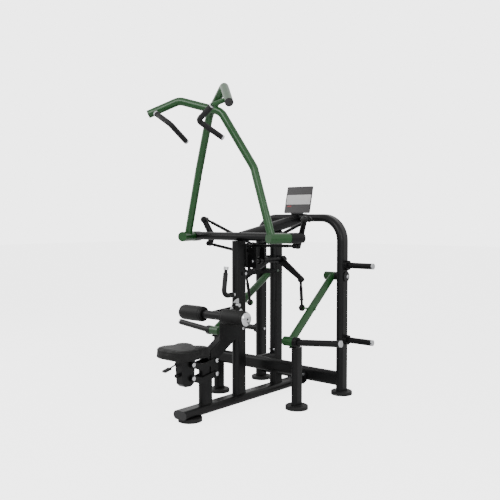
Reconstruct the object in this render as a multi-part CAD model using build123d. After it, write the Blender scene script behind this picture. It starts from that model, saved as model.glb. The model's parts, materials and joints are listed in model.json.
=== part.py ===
from build123d import *
import os
from math import cos, radians, sin, tan

os.makedirs("parts", exist_ok=True)

# Plate-loaded lat pulldown machine, in millimetres.
# The origin is the centre of the front foot's sole: +X is the user's right, +Y runs
# from the seat back to the weight horns, and +Z is up.
# One pulled handle arm turns the other through the synchroniser lever, and each arm
# lifts its own weight arm through a drive link, a rocker and a tie rod.

# ---------------------------------------------------------------- stock and gaps
tube_wide = 120.0            # flat-oval main tube, wide side
tube_thin = 60.0             # flat-oval main tube, thin side
tube_wall = 3.0
weld_gap = 0.2               # left between a tube and what it is welded to
body_gap = 0.3               # left between two bodies that move past each other
running = 0.05               # radial clearance of a shaft in its bore
plate = 6.0                  # welded side plates

# ---------------------------------------------------------------- feet and base
foot_radius = 82.5
foot_height = 27.0
foot_chamfer = 3.0
post_x, post_y = 381.0, 701.0        # stop posts
leg_x, leg_y = 406.0, 1260.0         # hoop legs
base_front_y = -95.0
front_column_y = 504.0
rear_column_y = 945.0
leg_thin, leg_wide = 60.0, 110.0     # hoop and rear beam section
post_thin, post_wide = 50.0, 96.0
post_top = 447.0
rear_beam_low, rear_beam_height = 61.0, 112.0
front_beam_low, front_beam_height = 240.0, 98.0
strut_height = 90.0
flange_half, flange_low, flange_high, flange_thick = 95.0, 32.0, 150.0, 8.0
flange_chamfer = 28.0

# ---------------------------------------------------------------- top frame
crossbar_y, crossbar_depth, crossbar_height = 540.0, 100.0, 60.0
pivot_z = 1236.0                     # height of both handle arm shafts
crossbar_low = 1210.0
boom_front_y, boom_front_top = 512.0, 1273.5
boom_slope = 10.6                    # degrees, rising to the rear
boom_depth = 86.0
hoop_top = 1407.0
hoop_bend = 180.0                    # centre-line radius of the hoop's corners

# ---------------------------------------------------------------- storage and load horns
horn_radius, horn_wall = 23.0, 4.0
horn_tip_x = 681.0
horn_heights = (432.0, 1011.0)
horn_collar_radius, horn_collar_length = 38.0, 30.0
horn_cap_length = 10.0
bolt_radius, bolt_head = 11.0, 7.0

# ---------------------------------------------------------------- handle arms
shaft_x, shaft_y = 412.0, 331.0      # centre of the right sleeve's front face
splay = 16.7                         # degrees, the shafts open outwards to the rear
sleeve_radius, sleeve_length, sleeve_wall = 36.0, 174.0, 5.0
shaft_radius = 15.0
housing_radius, housing_length = 38.0, 92.4
arm_radius, arm_wall = 28.0, 2.5
arm_station = (30.0, 90.0)           # where the right and left arm tubes leave their sleeves
arm_points_right = ((270, 352, 1718), (56, 254, 2107), (-209, 114, 2191), (-376, -19, 2100))
arm_points_left = ((-312, 409, 1718), (-128, 335, 2115), (158, 175, 2257), (376, -19, 2100))
arm_bends_right = (110.0, 90.0, 80.0)
arm_bends_left = (110.0, 90.0, 70.0)
grip_points = ((267, -54, 2090), (130, -46, 2005), (170, 134, 1913))
grip_radius, grip_bend = 17.0, 30.0
grip_collar_length, grip_cap_length = 10.0, 14.0
stub_radius, stub_share = 15.0, 0.8  # where on the arm's last run the grip's stub starts

# ---------------------------------------------------------------- lever on each shaft
lever_hub_radius, lever_hub_length = 34.0, 24.0
lever_thick = 14.0
lever_root, lever_tip = 24.0, 21.0   # half widths of the two leaning bars
drive_pin = (-19.0, 128.0)           # out from the shaft, up from the shaft
drive_plate, drive_ball_station = 322.0, 361.0
sync_pin = (-78.0, -58.0)
sync_plate, sync_ball_station = 312.0, 279.0
elbow, elbow_plate = (-82.0, 0.0), 334.0   # where the bars of the bell crank meet
ball_radius, ball_gap = 12.0, 0.3
stud_radius = 7.0
nut_radius, nut_length = 12.0, 8.0
eye_radius, eye_width = 19.0, 13.0
link_radius, socket_radius, socket_length = 7.0, 9.6, 60.0

# ---------------------------------------------------------------- rockers and synchroniser
rocker_x, rocker_z = 60.0, 1057.0
rocker_front_y = 660.0
rocker_hub_radius, rocker_hub_tail = 22.0, 8.2
short_arm_boss = 4.0
short_arm = 117.0
short_arm_thick, short_arm_tip = 12.0, 16.0
short_arm_y = (698.8, 746.8)         # front faces: right rocker, left rocker
long_arm_end = (267.0, 914.0)        # x, z of the tie rod's top
long_arm_y, long_arm_thick = 912.8, 14.0
long_arm_root, long_arm_tip = 30.0, 18.0
open_gap = 2.4                       # at the pivots that stay open, so that their rod ends can lean
open_eye_width, open_washer_radius = 5.0, 8.0
open_reach = 10.5                    # from a plate's face to the middle of an open rod end
sync_stand, sync_z = 50.8, 1135.0    # lever face behind the cross plate, and pivot height
sync_radius, sync_lean = 46.0, 39.0  # upper pin from the pivot, and its lean at rest
lower_radius, lower_lean = 42.0, 43.35   # lower pin, set so that both links stay the same length
sync_thick = 10.0
sync_tip = 16.0

# ---------------------------------------------------------------- weight arms
weight_pivot_y, weight_pivot_z = 1265.0, 923.0
weight_end_y, weight_end_z = 639.0, 495.0
weight_top_x, weight_end_x = 312.0, 371.0    # the arm tubes splay outwards to the front
weight_sleeve_radius = 32.0
weight_sleeve_inner_x, weight_sleeve_outer_x = 250.0, 347.0
weight_hub_radius = 34.0
weight_hub_inner_x, weight_hub_outer_x = 318.0, 405.0
load_collar_radius, load_collar_length = 36.0, 35.0
load_tip = (780.0, 665.0, 522.0)
tie_ball = (256.0, 936.0, 697.0)
tie_eye_radius, tie_ball_radius = 24.0, 15.0
tie_radius, tie_socket_radius = 8.0, 10.0
cover_radius, cover_thick = 40.0, 8.0

# ---------------------------------------------------------------- seat
seat_post_y, seat_post_wide, seat_post_top = 150.0, 110.0, 372.0
diagonal_low, diagonal_high = (0.0, 150.0, 396.0), (0.0, 444.0, 572.0)
diagonal_deep, diagonal_round = 72.0, 8.0
link_rear_y, link_upper_z, link_lower_z = 214.0, 384.0, 291.0
link_length = 228.0
link_rise = 6.0                      # the front pivots stand this much higher
link_thick, link_width, link_sag = 8.0, 42.0, 26.0
link_sag_share = 0.62                # where along its length a link sags most
seat_bolt_radius = 8.0
cheek_half = tube_thin / 2           # half the width that the side plates clasp
gusset_front_y, gusset_top = 263.0, 640.0
seat_top, pad_thick = 512.0, 60.0
base_plate_thick = 6.0
base_plate_half, base_plate_front, base_plate_rear = 75.0, -150.0, 30.0
carriage_half, carriage_wall, boss_radius = 30.0, 5.0, 16.0
bumper_radius, bumper_length, bumper_z = 13.0, 20.0, 328.0
seat_lever_y, seat_lever_z = -88.0, 396.0
paddle_y, paddle_z, paddle_lean = -176.0, 370.0, 14.0
paddle_wide, paddle_long, paddle_thick = 34.0, 56.0, 12.0
seat_lever_hub, seat_lever_bar, seat_lever_out = 12.0, 5.0, 8.0

# ---------------------------------------------------------------- thigh rollers
roller_y, roller_z = 234.0, 693.0
roller_radius, roller_inner_x, roller_outer_x = 55.0, 90.0, 300.0
roller_pivot_y, roller_pivot_z = 466.0, 705.0
pivot_bolt_radius, pivot_washer_radius = 10.0, 16.0
axle_radius, cross_tube_radius = 14.0, 30.0
fork_thick, fork_root, fork_tip = 8.0, 24.0, 22.0
sector_thick, sector_radius, sector_hub, sector_hole_radius = 5.0, 92.0, 24.0, 75.0
sector_angles = (92.0, 170.0)        # the fan, in degrees from the rear, upwards
pull_angle, sector_step = 140.0, 8.0
pull_radius, pull_slack, pull_house_radius, pull_house_length = 5.0, 0.6, 10.0, 14.0
knob_radius, knob_length = 13.0, 26.0
pull_lug_radius = 15.0
dome_radius, dome_tip, dome_rim, dome_rise = 48.0, 30.0, 6.0, 10.0

# ---------------------------------------------------------------- column handle and placard
handle_low_z, handle_bend_y, handle_top_y, handle_top_z = 820.0, 338.0, 364.0, 1006.0
handle_radius, handle_bend = 12.5, 40.0
handle_grip_start, handle_cap_length = 60.0, 22.0
handle_collar_radius, handle_collar_length = 20.0, 10.0
placard_y, placard_z, placard_lean = 1216.0, 1415.0, 13.1
placard_wide, placard_tall, placard_thick, placard_corner = 256.0, 221.0, 3.0, 10.0
tab_wide, tab_tall, tab_thick = 120.0, 128.0, 4.0
tab_foot_depth = 60.0


# ================================================================ helpers
def rod(start, end, radius, inner=0.0):
    """Round bar, or tube when an inner radius is given, from start to end."""
    run = Vector(*end) - Vector(*start)
    section = Circle(radius)
    if inner > 0:
        section -= Circle(inner)
    return extrude(Plane(origin=start, z_dir=run) * section, run.length)


def oval_bar(start, end, wide_dir, wide, thin):
    """Solid flat-oval bar; wide_dir is the direction of the section's wide side."""
    run = Vector(*end) - Vector(*start)
    plane = Plane(origin=start, x_dir=wide_dir, z_dir=run)
    return extrude(plane * SlotOverall(wide, thin), run.length)


def oval_tube(start, end, wide_dir, wide, thin, closed=(False, False)):
    """Flat-oval tube with an end wall where closed says so."""
    run = (Vector(*end) - Vector(*start)).normalized()
    shift = [tube_wall if shut else -tube_wall for shut in closed]
    hollow_start = Vector(*start) + run * shift[0]
    hollow_end = Vector(*end) - run * shift[1]
    inner = 2 * tube_wall
    hollow = oval_bar(tuple(hollow_start), tuple(hollow_end), wide_dir, wide - inner, thin - inner)
    return oval_bar(start, end, wide_dir, wide, thin) - hollow


def bent_tube(points, bends, radius, wall=0.0):
    """Round tube along straight runs joined by tangent bends; solid without a wall."""
    path = FilletPolyline(*points, radius=list(bends)) if len(points) > 2 else Line(*points)
    plane = Plane(origin=points[0], z_dir=Vector(*points[1]) - Vector(*points[0]))
    tube = sweep(plane * Circle(radius), path=path)
    if wall > 0:
        tube -= sweep(plane * Circle(radius - wall), path=path)
    return tube


def slab(points, x_low, x_high):
    """Plate between two x values whose outline is given as (y, z) points."""
    face = make_face(Plane.YZ * Polyline(*points, close=True))
    return Pos(x_low, 0, 0) * extrude(face, x_high - x_low, dir=(1, 0, 0))


def box(x, y, z):
    """Box from three (low, high) pairs."""
    size = [high - low for low, high in (x, y, z)]
    middle = [(high + low) / 2 for low, high in (x, y, z)]
    return Pos(*middle) * Box(*size)


def across(normal, run):
    """The part of normal that is square to run, so that an eye lies in line with its rod."""
    run = Vector(*run).normalized()
    normal = Vector(*normal)
    return tuple(normal - run * normal.dot(run))


def mirrored(shape):
    return mirror(shape, about=Plane.YZ)


def both(shape):
    """The shape and its mirror image on the other side of the machine."""
    return [shape, mirrored(shape)]


def bolt(point, direction, radius=bolt_radius, height=bolt_head):
    """Bolt head standing on the point."""
    end = Vector(*point) + Vector(*direction).normalized() * height
    return rod(point, tuple(end), radius)


def save(name, *shapes):
    solids = [solid for shape in shapes for solid in shape.solids()]
    export_step(Compound(children=solids) if len(solids) > 1 else solids[0], f"parts/{name}.step")


def toward(start, end, distance):
    """Point at a distance from start on the way to end."""
    run = Vector(*end) - Vector(*start)
    return tuple(Vector(*start) + run.normalized() * distance)


# ================================================================ frame
foot_top = foot_height
base_top = foot_top + tube_thin
leg_inner = leg_x - leg_thin / 2
leg_outer = leg_x + leg_thin / 2
post_inner = post_x - post_thin / 2


def foot(x, y):
    pad = Pos(x, y, foot_height / 2) * Cylinder(foot_radius, foot_height)
    return chamfer(pad.edges().group_by(Axis.Z)[-1], foot_chamfer)


feet = [foot(0, 0)] + both(foot(post_x, post_y)) + both(foot(leg_x, leg_y))
save("foot_pads", *feet)

rear_beam_front = leg_y - leg_thin / 2
base_rear_y = rear_beam_front - flange_thick
base_mid = foot_top + tube_thin / 2
base_start, base_end = (0, base_front_y, base_mid), (0, base_rear_y, base_mid)
base = oval_tube(base_start, base_end, (1, 0, 0), tube_wide, tube_thin, (False, True))
flange_outline = ((-flange_half + flange_chamfer, flange_low), (flange_half - flange_chamfer, flange_low),
                  (flange_half, flange_low + flange_chamfer), (flange_half, flange_high - flange_chamfer),
                  (flange_half - flange_chamfer, flange_high), (-flange_half + flange_chamfer, flange_high),
                  (-flange_half, flange_high - flange_chamfer), (-flange_half, flange_low + flange_chamfer))
flange_face = make_face(Plane.XZ * Polyline(*flange_outline, close=True))
flange = Pos(0, rear_beam_front, 0) * extrude(flange_face, flange_thick)
save("base_tube", base, flange)

column_low = (0, front_column_y, base_top)
column_high = (0, front_column_y, crossbar_low)
front_column = oval_tube(column_low, column_high, (0, 1, 0), tube_wide, tube_thin, (False, True))
roller_bore = rod((-tube_wide, roller_pivot_y, roller_pivot_z), (tube_wide, roller_pivot_y, roller_pivot_z),
                  pivot_bolt_radius + running)
front_column -= roller_bore
save("front_column", front_column)

# handle arm shaft line: rear along the shaft, outward across it
shaft_rear = Vector(sin(radians(splay)), cos(radians(splay)), 0)
shaft_out = Vector(cos(radians(splay)), -sin(radians(splay)), 0)
shaft_face = Plane(origin=(shaft_x, shaft_y, pivot_z), x_dir=shaft_out, z_dir=-shaft_rear)


def on_shaft(station, out=0.0, up=0.0):
    """Point at a station behind the sleeve's front face, out and up from the right shaft."""
    return tuple(shaft_face.origin + shaft_rear * station + shaft_out * out + Vector(0, 0, up))


housing_start = sleeve_length + body_gap
housing_end = housing_start + housing_length
bearing_length = 20.0
housing = rod(on_shaft(housing_start), on_shaft(housing_end), housing_radius, shaft_radius + running)
housing -= rod(on_shaft(housing_start + bearing_length), on_shaft(housing_end - bearing_length),
               housing_radius - sleeve_wall)
crossbar_end = shaft_x + (crossbar_y - shaft_y) * tan(radians(splay))
crossbar_mid = crossbar_low + crossbar_height / 2
crossbar_outer = oval_bar((-crossbar_end, crossbar_y, crossbar_mid), (crossbar_end, crossbar_y, crossbar_mid),
                          (0, 1, 0), crossbar_depth, crossbar_height)
crossbar = oval_tube((-crossbar_end, crossbar_y, crossbar_mid), (crossbar_end, crossbar_y, crossbar_mid),
                     (0, 1, 0), crossbar_depth, crossbar_height)
shaft_clear = rod(on_shaft(-sleeve_length), on_shaft(2 * housing_end), housing_radius + weld_gap)
crossbar = crossbar - shaft_clear - mirrored(shaft_clear)
save("crossbar", crossbar, *both(housing))

# boom, rising from the crossbar to the hoop
rise = Vector(0, cos(radians(boom_slope)), sin(radians(boom_slope)))
boom_normal = Vector(0, -sin(radians(boom_slope)), cos(radians(boom_slope)))
boom_top_front = Vector(0, boom_front_y, boom_front_top)
boom_start = boom_top_front - boom_normal * (boom_depth / 2)
boom_run = (leg_y - boom_front_y) / cos(radians(boom_slope))
boom_end = boom_start + rise * boom_run
boom = oval_tube(tuple(boom_start), tuple(boom_end), tuple(boom_normal), boom_depth, tube_thin, (True, False))
hoop_mid_z = hoop_top - leg_thin / 2
hoop_bar = oval_bar((-leg_x, leg_y, hoop_mid_z), (leg_x, leg_y, hoop_mid_z), (0, 1, 0),
                    leg_wide + 2 * weld_gap, leg_thin + 2 * weld_gap)
hoop_rear_cut = box((-tube_wide, tube_wide), (leg_y - leg_wide / 4, leg_y + tube_wide), (0, 2 * hoop_top))
crossbar_cut = oval_bar((-tube_wide, crossbar_y, crossbar_mid), (tube_wide, crossbar_y, crossbar_mid),
                        (0, 1, 0), crossbar_depth + 2 * weld_gap, crossbar_height + 2 * weld_gap)
column_cut = oval_bar((0, front_column_y, base_top), (0, front_column_y, crossbar_low + weld_gap), (0, 1, 0),
                      tube_wide + 2 * weld_gap, tube_thin + 2 * weld_gap)
boom = boom - hoop_bar - hoop_rear_cut - crossbar_cut - column_cut
boom = boom.solids().sort_by(SortBy.VOLUME)[-1]
save("boom", boom)

# rear column, cut to the slope of the boom's underside
boom_low_front = boom_top_front - boom_normal * (boom_depth + weld_gap)
column_cut_plane = Plane(origin=tuple(boom_low_front), x_dir=(1, 0, 0), z_dir=tuple(boom_normal))
rear_column = oval_tube((0, rear_column_y, base_top), (0, rear_column_y, hoop_top), (0, 1, 0),
                        tube_wide, tube_thin)
rear_column = split(rear_column, bisect_by=column_cut_plane, keep=Keep.BOTTOM)
save("rear_column", rear_column)

# hoop: two legs and a top bar bent from one tube
hoop_points = ((-leg_x, leg_y, foot_top), (-leg_x, leg_y, hoop_mid_z), (leg_x, leg_y, hoop_mid_z),
               (leg_x, leg_y, foot_top))
hoop_path = FilletPolyline(*hoop_points, radius=hoop_bend)
hoop_plane = Plane(origin=hoop_points[0], x_dir=(0, 1, 0), z_dir=(0, 0, 1))
hoop = sweep(hoop_plane * SlotOverall(leg_wide, leg_thin), path=hoop_path)
hoop -= sweep(hoop_plane * SlotOverall(leg_wide - 2 * tube_wall, leg_thin - 2 * tube_wall), path=hoop_path)
axle_hole = rod((leg_inner - tube_wall, weight_pivot_y, weight_pivot_z),
                (leg_outer + tube_wall, weight_pivot_y, weight_pivot_z), shaft_radius + running)
hoop = hoop - axle_hole - mirrored(axle_hole)
save("hoop", hoop)


def leg_outline(x, y, wide, thin, top):
    """Leg outline with the weld gap, for cutting what butts against a leg."""
    return oval_bar((x, y, 0), (x, y, top), (0, 1, 0), wide + 2 * weld_gap, thin + 2 * weld_gap)


leg_cut = leg_outline(leg_x, leg_y, leg_wide, leg_thin, hoop_top)
rear_beam_mid = rear_beam_low + rear_beam_height / 2
rear_beam = oval_tube((-leg_x, leg_y, rear_beam_mid), (leg_x, leg_y, rear_beam_mid), (0, 0, 1),
                      rear_beam_height, leg_thin)
save("rear_beam", rear_beam - leg_cut - mirrored(leg_cut))

post_cut = leg_outline(post_x, post_y, post_wide, post_thin, post_top)
front_beam_mid = front_beam_low + front_beam_height / 2
front_beam = oval_tube((-post_x, post_y, front_beam_mid), (post_x, post_y, front_beam_mid), (0, 0, 1),
                       front_beam_height, tube_thin)
strut_front = post_y + tube_thin / 2
strut_rear = rear_column_y - tube_wide / 2
strut = oval_tube((0, post_y, front_beam_mid), (0, rear_column_y, front_beam_mid), (0, 0, 1),
                  strut_height, tube_thin)
beam_outer = oval_bar((-post_x, post_y, front_beam_mid), (post_x, post_y, front_beam_mid), (0, 0, 1),
                      front_beam_height + 2 * weld_gap, tube_thin + 2 * weld_gap)
rear_column_cut = leg_outline(0, rear_column_y, tube_wide, tube_thin, hoop_top)
strut = strut - beam_outer - rear_column_cut
save("front_beam", front_beam - post_cut - mirrored(post_cut), strut)

# stop posts with a folded bracket that faces the weight arm's hub
post = oval_tube((post_x, post_y, foot_top), (post_x, post_y, post_top), (0, 1, 0), post_wide, post_thin,
                 (False, True))
stop_rubber_thick, stop_half_length = 8.0, 26.0
stop_reach = weight_hub_radius + body_gap          # hub axis to rubber face
arm_run = Vector(0, weight_end_y - weight_pivot_y, weight_end_z - weight_pivot_z).normalized()
stop_dir = Vector(0, -arm_run.Z, arm_run.Y)        # the way the hub comes down
stop_along = Vector(0, -arm_run.Y, -arm_run.Z)
hub_axis = Vector(0, weight_end_y, weight_end_z)


def stop_point(depth, along):
    """Point (y, z) behind the rubber's face by depth, and along the face."""
    point = hub_axis + stop_dir * (stop_reach + depth) + stop_along * along
    return (point.Y, point.Z)


face_ends = [stop_point(0, along) for along in (-stop_half_length, stop_half_length)]
back_ends = [stop_point(stop_rubber_thick, along) for along in (stop_half_length, -stop_half_length)]
stop_rubber = slab(face_ends + back_ends, post_inner, weight_hub_outer_x - tube_wall)
bracket_foot = post_top - tube_wall
bracket_outline = (back_ends[1], back_ends[0], (back_ends[0][0], bracket_foot),
                   (post_y - post_wide / 2, bracket_foot))
stop_bracket = slab(bracket_outline, post_inner, post_x + post_thin / 2)
save("stop_posts", *both(post + stop_bracket))
save("stop_rubbers", *both(stop_rubber))

# storage horns on the hoop's legs, with their chrome caps
horn_start = leg_outer
collar_end = horn_start + horn_collar_length
horns, horn_caps = [], []
for height in horn_heights:
    collar = rod((horn_start, leg_y, height), (collar_end, leg_y, height), horn_collar_radius)
    horn = rod((collar_end, leg_y, height), (horn_tip_x - horn_cap_length, leg_y, height), horn_radius,
               horn_radius - horn_wall)
    cap = rod((horn_tip_x - horn_cap_length, leg_y, height), (horn_tip_x, leg_y, height), horn_radius)
    inner_bolt = bolt((leg_inner, leg_y, height), (-1, 0, 0))
    horns += both(collar) + both(horn)
    horn_caps += both(cap) + both(inner_bolt)
save("storage_horns", *horns)

# axles of the weight arms, fixed in the hoop's legs
axle_inner_x = weight_sleeve_inner_x - body_gap
weight_axle = rod((axle_inner_x, weight_pivot_y, weight_pivot_z),
                  (leg_outer, weight_pivot_y, weight_pivot_z), shaft_radius)
spacer = rod((weight_sleeve_outer_x + body_gap, weight_pivot_y, weight_pivot_z),
             (leg_inner, weight_pivot_y, weight_pivot_z), weight_sleeve_radius)
cover = rod((leg_outer, weight_pivot_y, weight_pivot_z),
            (leg_outer + cover_thick, weight_pivot_y, weight_pivot_z), cover_radius)
axle_washer = rod((axle_inner_x - tube_wall, weight_pivot_y, weight_pivot_z),
                  (axle_inner_x, weight_pivot_y, weight_pivot_z), weight_sleeve_radius - tube_wall)
save("weight_axles", *both(weight_axle + spacer + cover + axle_washer))

# ================================================================ rocker cradle
side_plate_inner = tube_thin / 2 + weld_gap
cradle_front = front_column_y + tube_wide / 2 + weld_gap
cradle_rear = rear_column_y - tube_wide / 2 - weld_gap
rail_low, rail_high, tower_top = 957.0, 983.0, 1105.0
tower_depth = 26.0
cross_plate_y = cradle_front + tower_depth
cross_half = rocker_x + 32.0
sync_y = cross_plate_y + sync_stand
rail_outline = ((front_column_y, rail_low), (rear_column_y, rail_low), (rear_column_y, rail_high),
                (cross_plate_y + 2 * tower_depth, rail_high), (cross_plate_y, rail_high + tower_depth),
                (cross_plate_y, tower_top), (cradle_front + plate, tower_top), (cradle_front, rail_high),
                (front_column_y, rail_high))
rail = slab(rail_outline, side_plate_inner, side_plate_inner + plate)
cross_plate = box((-cross_half, cross_half), (cross_plate_y, cross_plate_y + plate),
                  (rail_high + tower_depth, tower_top + sync_z - rocker_z - rocker_hub_radius))
rocker_bore = rod((rocker_x, cross_plate_y - plate, rocker_z), (rocker_x, rear_column_y + tube_wide, rocker_z),
                  shaft_radius + running)
sync_bolt_radius = 8.0
sync_bore = rod((0, cross_plate_y - plate, sync_z), (0, cross_plate_y + 2 * plate, sync_z),
                sync_bolt_radius + running)
cross_plate = cross_plate - rocker_bore - mirrored(rocker_bore) - sync_bore
lug_thick = 14.0
lug_y = long_arm_y + long_arm_thick + lug_thick
lug = box((side_plate_inner, rocker_x + 26.0), (lug_y, lug_y + lug_thick), (rocker_z - 28.0, rocker_z + 28.0))
lug -= rocker_bore
save("rocker_cradle", *both(rail), cross_plate, *both(lug))

shaft_knob_radius, shaft_knob_length = 18.0, 30.0
rocker_shaft = rod((rocker_x, cross_plate_y, rocker_z), (rocker_x, lug_y + lug_thick, rocker_z), shaft_radius)
shaft_knob = rod((rocker_x, lug_y + lug_thick + weld_gap, rocker_z),
                 (rocker_x, lug_y + lug_thick + shaft_knob_length, rocker_z), shaft_knob_radius)
rocker_shaft_bolt = bolt((rocker_x, cross_plate_y - weld_gap, rocker_z), (0, -1, 0))
sync_hub_end = sync_y + 2 * sync_thick
sync_axle = rod((0, cross_plate_y, sync_z), (0, sync_hub_end + body_gap, sync_z), sync_bolt_radius)
sync_axle += rod((0, sync_hub_end + body_gap, sync_z), (0, sync_hub_end + tube_wall, sync_z), sync_tip - tube_wall)
sync_axle += rod((0, cross_plate_y + plate, sync_z), (0, sync_y - body_gap, sync_z), sync_bolt_radius + 2)
sync_axle += bolt((0, cross_plate_y, sync_z), (0, -1, 0))
save("rocker_shafts", *both(rocker_shaft), *both(shaft_knob), sync_axle)


# ================================================================ linkage pieces
def eye(centre, normal, outer=eye_radius, ball=ball_radius):
    """Ring of a rod end, bored to clear its ball."""
    half = Vector(*normal).normalized() * (eye_width / 2)
    start, end = Vector(*centre) - half, Vector(*centre) + half
    return rod(tuple(start), tuple(end), outer, ball + ball_gap)


def link(ball_end, pin_end, ball_normal, pin_normal, outer=eye_radius, ball=ball_radius,
         radius=link_radius, socket=socket_radius):
    """Rod with an eye at the ball and an eye with its own bolt at the pin."""
    run = Vector(*pin_end) - Vector(*ball_end)
    ball_normal = across(ball_normal, run)
    inside = outer - tube_wall
    bar = rod(toward(ball_end, pin_end, inside), toward(pin_end, ball_end, inside), radius)
    bar += rod(toward(ball_end, pin_end, inside), toward(ball_end, pin_end, socket_length), socket)
    bar += rod(toward(pin_end, ball_end, inside), toward(pin_end, ball_end, socket_length), socket)
    bore = eye_width * 2
    half = Vector(*ball_normal).normalized() * bore
    bar -= rod(tuple(Vector(*ball_end) - half), tuple(Vector(*ball_end) + half), ball + ball_gap)
    bar += eye(ball_end, ball_normal, outer, ball)
    half_eye = Vector(*pin_normal).normalized() * (open_eye_width / 2)
    face = Vector(*pin_end) - half_eye
    back = Vector(*pin_end) + half_eye
    bar += rod(tuple(face), tuple(back), outer)
    head = bolt(tuple(face), tuple(-half_eye), nut_radius, nut_length)
    washer = bolt(tuple(back), tuple(half_eye), open_washer_radius, open_reach - open_gap - open_eye_width / 2)
    return bar + head + washer


def ball_stud(root, centre, ball=ball_radius, tail=0.0):
    """Stud from root through a ball, with a nut behind the ball."""
    run = (Vector(*centre) - Vector(*root)).normalized()
    tip = Vector(*centre) + run * (ball + tail)
    nut = rod(tuple(tip), tuple(tip + run * nut_length), nut_radius)
    return rod(root, tuple(tip), stud_radius) + Plane(origin=centre, z_dir=run) * Sphere(ball) + nut


# ================================================================ handle arms
def handle_arm(station, side_points, bends, side):
    """Sleeve, arm tube and the stub that carries the grip; side is 1 right, -1 left."""
    sleeve = rod(on_shaft(0), on_shaft(sleeve_length), sleeve_radius, sleeve_radius - sleeve_wall)
    disc = rod(on_shaft(0), on_shaft(sleeve_wall), sleeve_radius)
    ring = rod(on_shaft(sleeve_length - sleeve_wall), on_shaft(sleeve_length), sleeve_radius,
               shaft_radius + running)
    sleeve = sleeve + disc + ring
    inner = rod(on_shaft(sleeve_wall), on_shaft(sleeve_length - sleeve_wall), sleeve_radius - sleeve_wall)
    root = Vector(*on_shaft(station))
    if side < 0:
        sleeve, inner = mirrored(sleeve), mirrored(inner)
        root = Vector(-root.X, root.Y, root.Z)
    points = [tuple(root)] + [tuple(float(v) for v in point) for point in side_points]
    tube = bent_tube(points, bends, arm_radius, arm_wall)
    last = Vector(*points[-2]) + (Vector(*points[-1]) - Vector(*points[-2])) * stub_share
    grip_start = Vector(-side * grip_points[0][0], *grip_points[0][1:])
    stub = rod(tuple(last), tuple(grip_start), stub_radius)
    stub -= bent_tube(points, bends, arm_radius)
    grip_next = (-side * grip_points[1][0], *grip_points[1][1:])
    stub -= rod(tuple(grip_start), toward(tuple(grip_start), grip_next, arm_radius), 2 * arm_radius)
    stub = stub.solids().sort_by(SortBy.VOLUME)[-1]
    arm = sleeve + tube - inner
    return arm.solids().sort_by(SortBy.VOLUME)[-1] + stub, points


def arm_plug(points):
    """Plug in the open end of the arm tube."""
    end, before = points[-1], points[-2]
    out = toward(before, end, (Vector(*end) - Vector(*before)).length + plate)
    return rod(end, out, arm_radius)


def grip_pieces(side):
    """Rubber grip and its chrome collar and end cap, for the hand on the given side."""
    points = [(-side * x, y, z) for x, y, z in grip_points]
    collar = rod(points[0], toward(points[0], points[1], grip_collar_length), grip_radius + 2)
    start = toward(points[0], points[1], grip_collar_length)
    rubber = bent_tube([start, points[1], points[2]], [grip_bend], grip_radius)
    cap_end = toward(points[1], points[2],
                     (Vector(*points[2]) - Vector(*points[1])).length + grip_cap_length)
    cap = rod(points[2], cap_end, grip_radius + 1)
    return rubber, collar, cap


hub_start = housing_end + body_gap
hub_end = hub_start + lever_hub_length
hub_middle = (hub_start + hub_end) / 2


def leaning_bar(start, end):
    """Flat bar between two points, as square to the shaft as its lean allows."""
    run = Vector(*end) - Vector(*start)
    normal = Vector(*across(tuple(shaft_rear), tuple(run))).normalized()
    origin = Vector(*start) - normal * (lever_thick / 2)
    face = Plane(origin=tuple(origin), x_dir=run, z_dir=normal)
    outline = make_hull(Circle(lever_root).edges() + (Pos(run.length, 0) * Circle(lever_tip)).edges())
    return extrude(face * outline, lever_thick)


def arm_lever():
    """Shaft, hub and the bell crank's bars with their ball studs, on the right."""
    shaft = rod(on_shaft(sleeve_wall), on_shaft(hub_end), shaft_radius)
    hub = rod(on_shaft(hub_start), on_shaft(hub_end), lever_hub_radius)
    drive_root, sync_root = on_shaft(drive_plate, *drive_pin), on_shaft(sync_plate, *sync_pin)
    corner = on_shaft(elbow_plate, *elbow)
    bars = leaning_bar(on_shaft(hub_middle), corner)
    for root in (drive_root, sync_root):
        bars += leaning_bar(corner, root)
    front_cut = rod(on_shaft(0), on_shaft(hub_start), 2 * lever_hub_radius)
    studs = ball_stud(drive_root, on_shaft(drive_ball_station, *drive_pin))
    studs += ball_stud(sync_root, on_shaft(sync_ball_station, *sync_pin))
    return shaft + hub + (bars - front_cut) + studs


lever_right = arm_lever()
arm_right, points_right = handle_arm(arm_station[0], arm_points_right, arm_bends_right, 1)
arm_left, points_left = handle_arm(arm_station[1], arm_points_left, arm_bends_left, -1)
for name, arm, points, side in (("right", arm_right, points_right, 1), ("left", arm_left, points_left, -1)):
    rubber, collar, cap = grip_pieces(side)
    save(f"handle_arm_{name}", arm)
    save(f"arm_plug_{name}", arm_plug(points))
    save(f"arm_lever_{name}", lever_right if side > 0 else mirrored(lever_right))
    save(f"grip_{name}", rubber)
    save(f"grip_fittings_{name}", collar, cap)

# ================================================================ rockers and links
tie_pin = (long_arm_end[0], long_arm_y - open_reach, long_arm_end[1])


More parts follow.
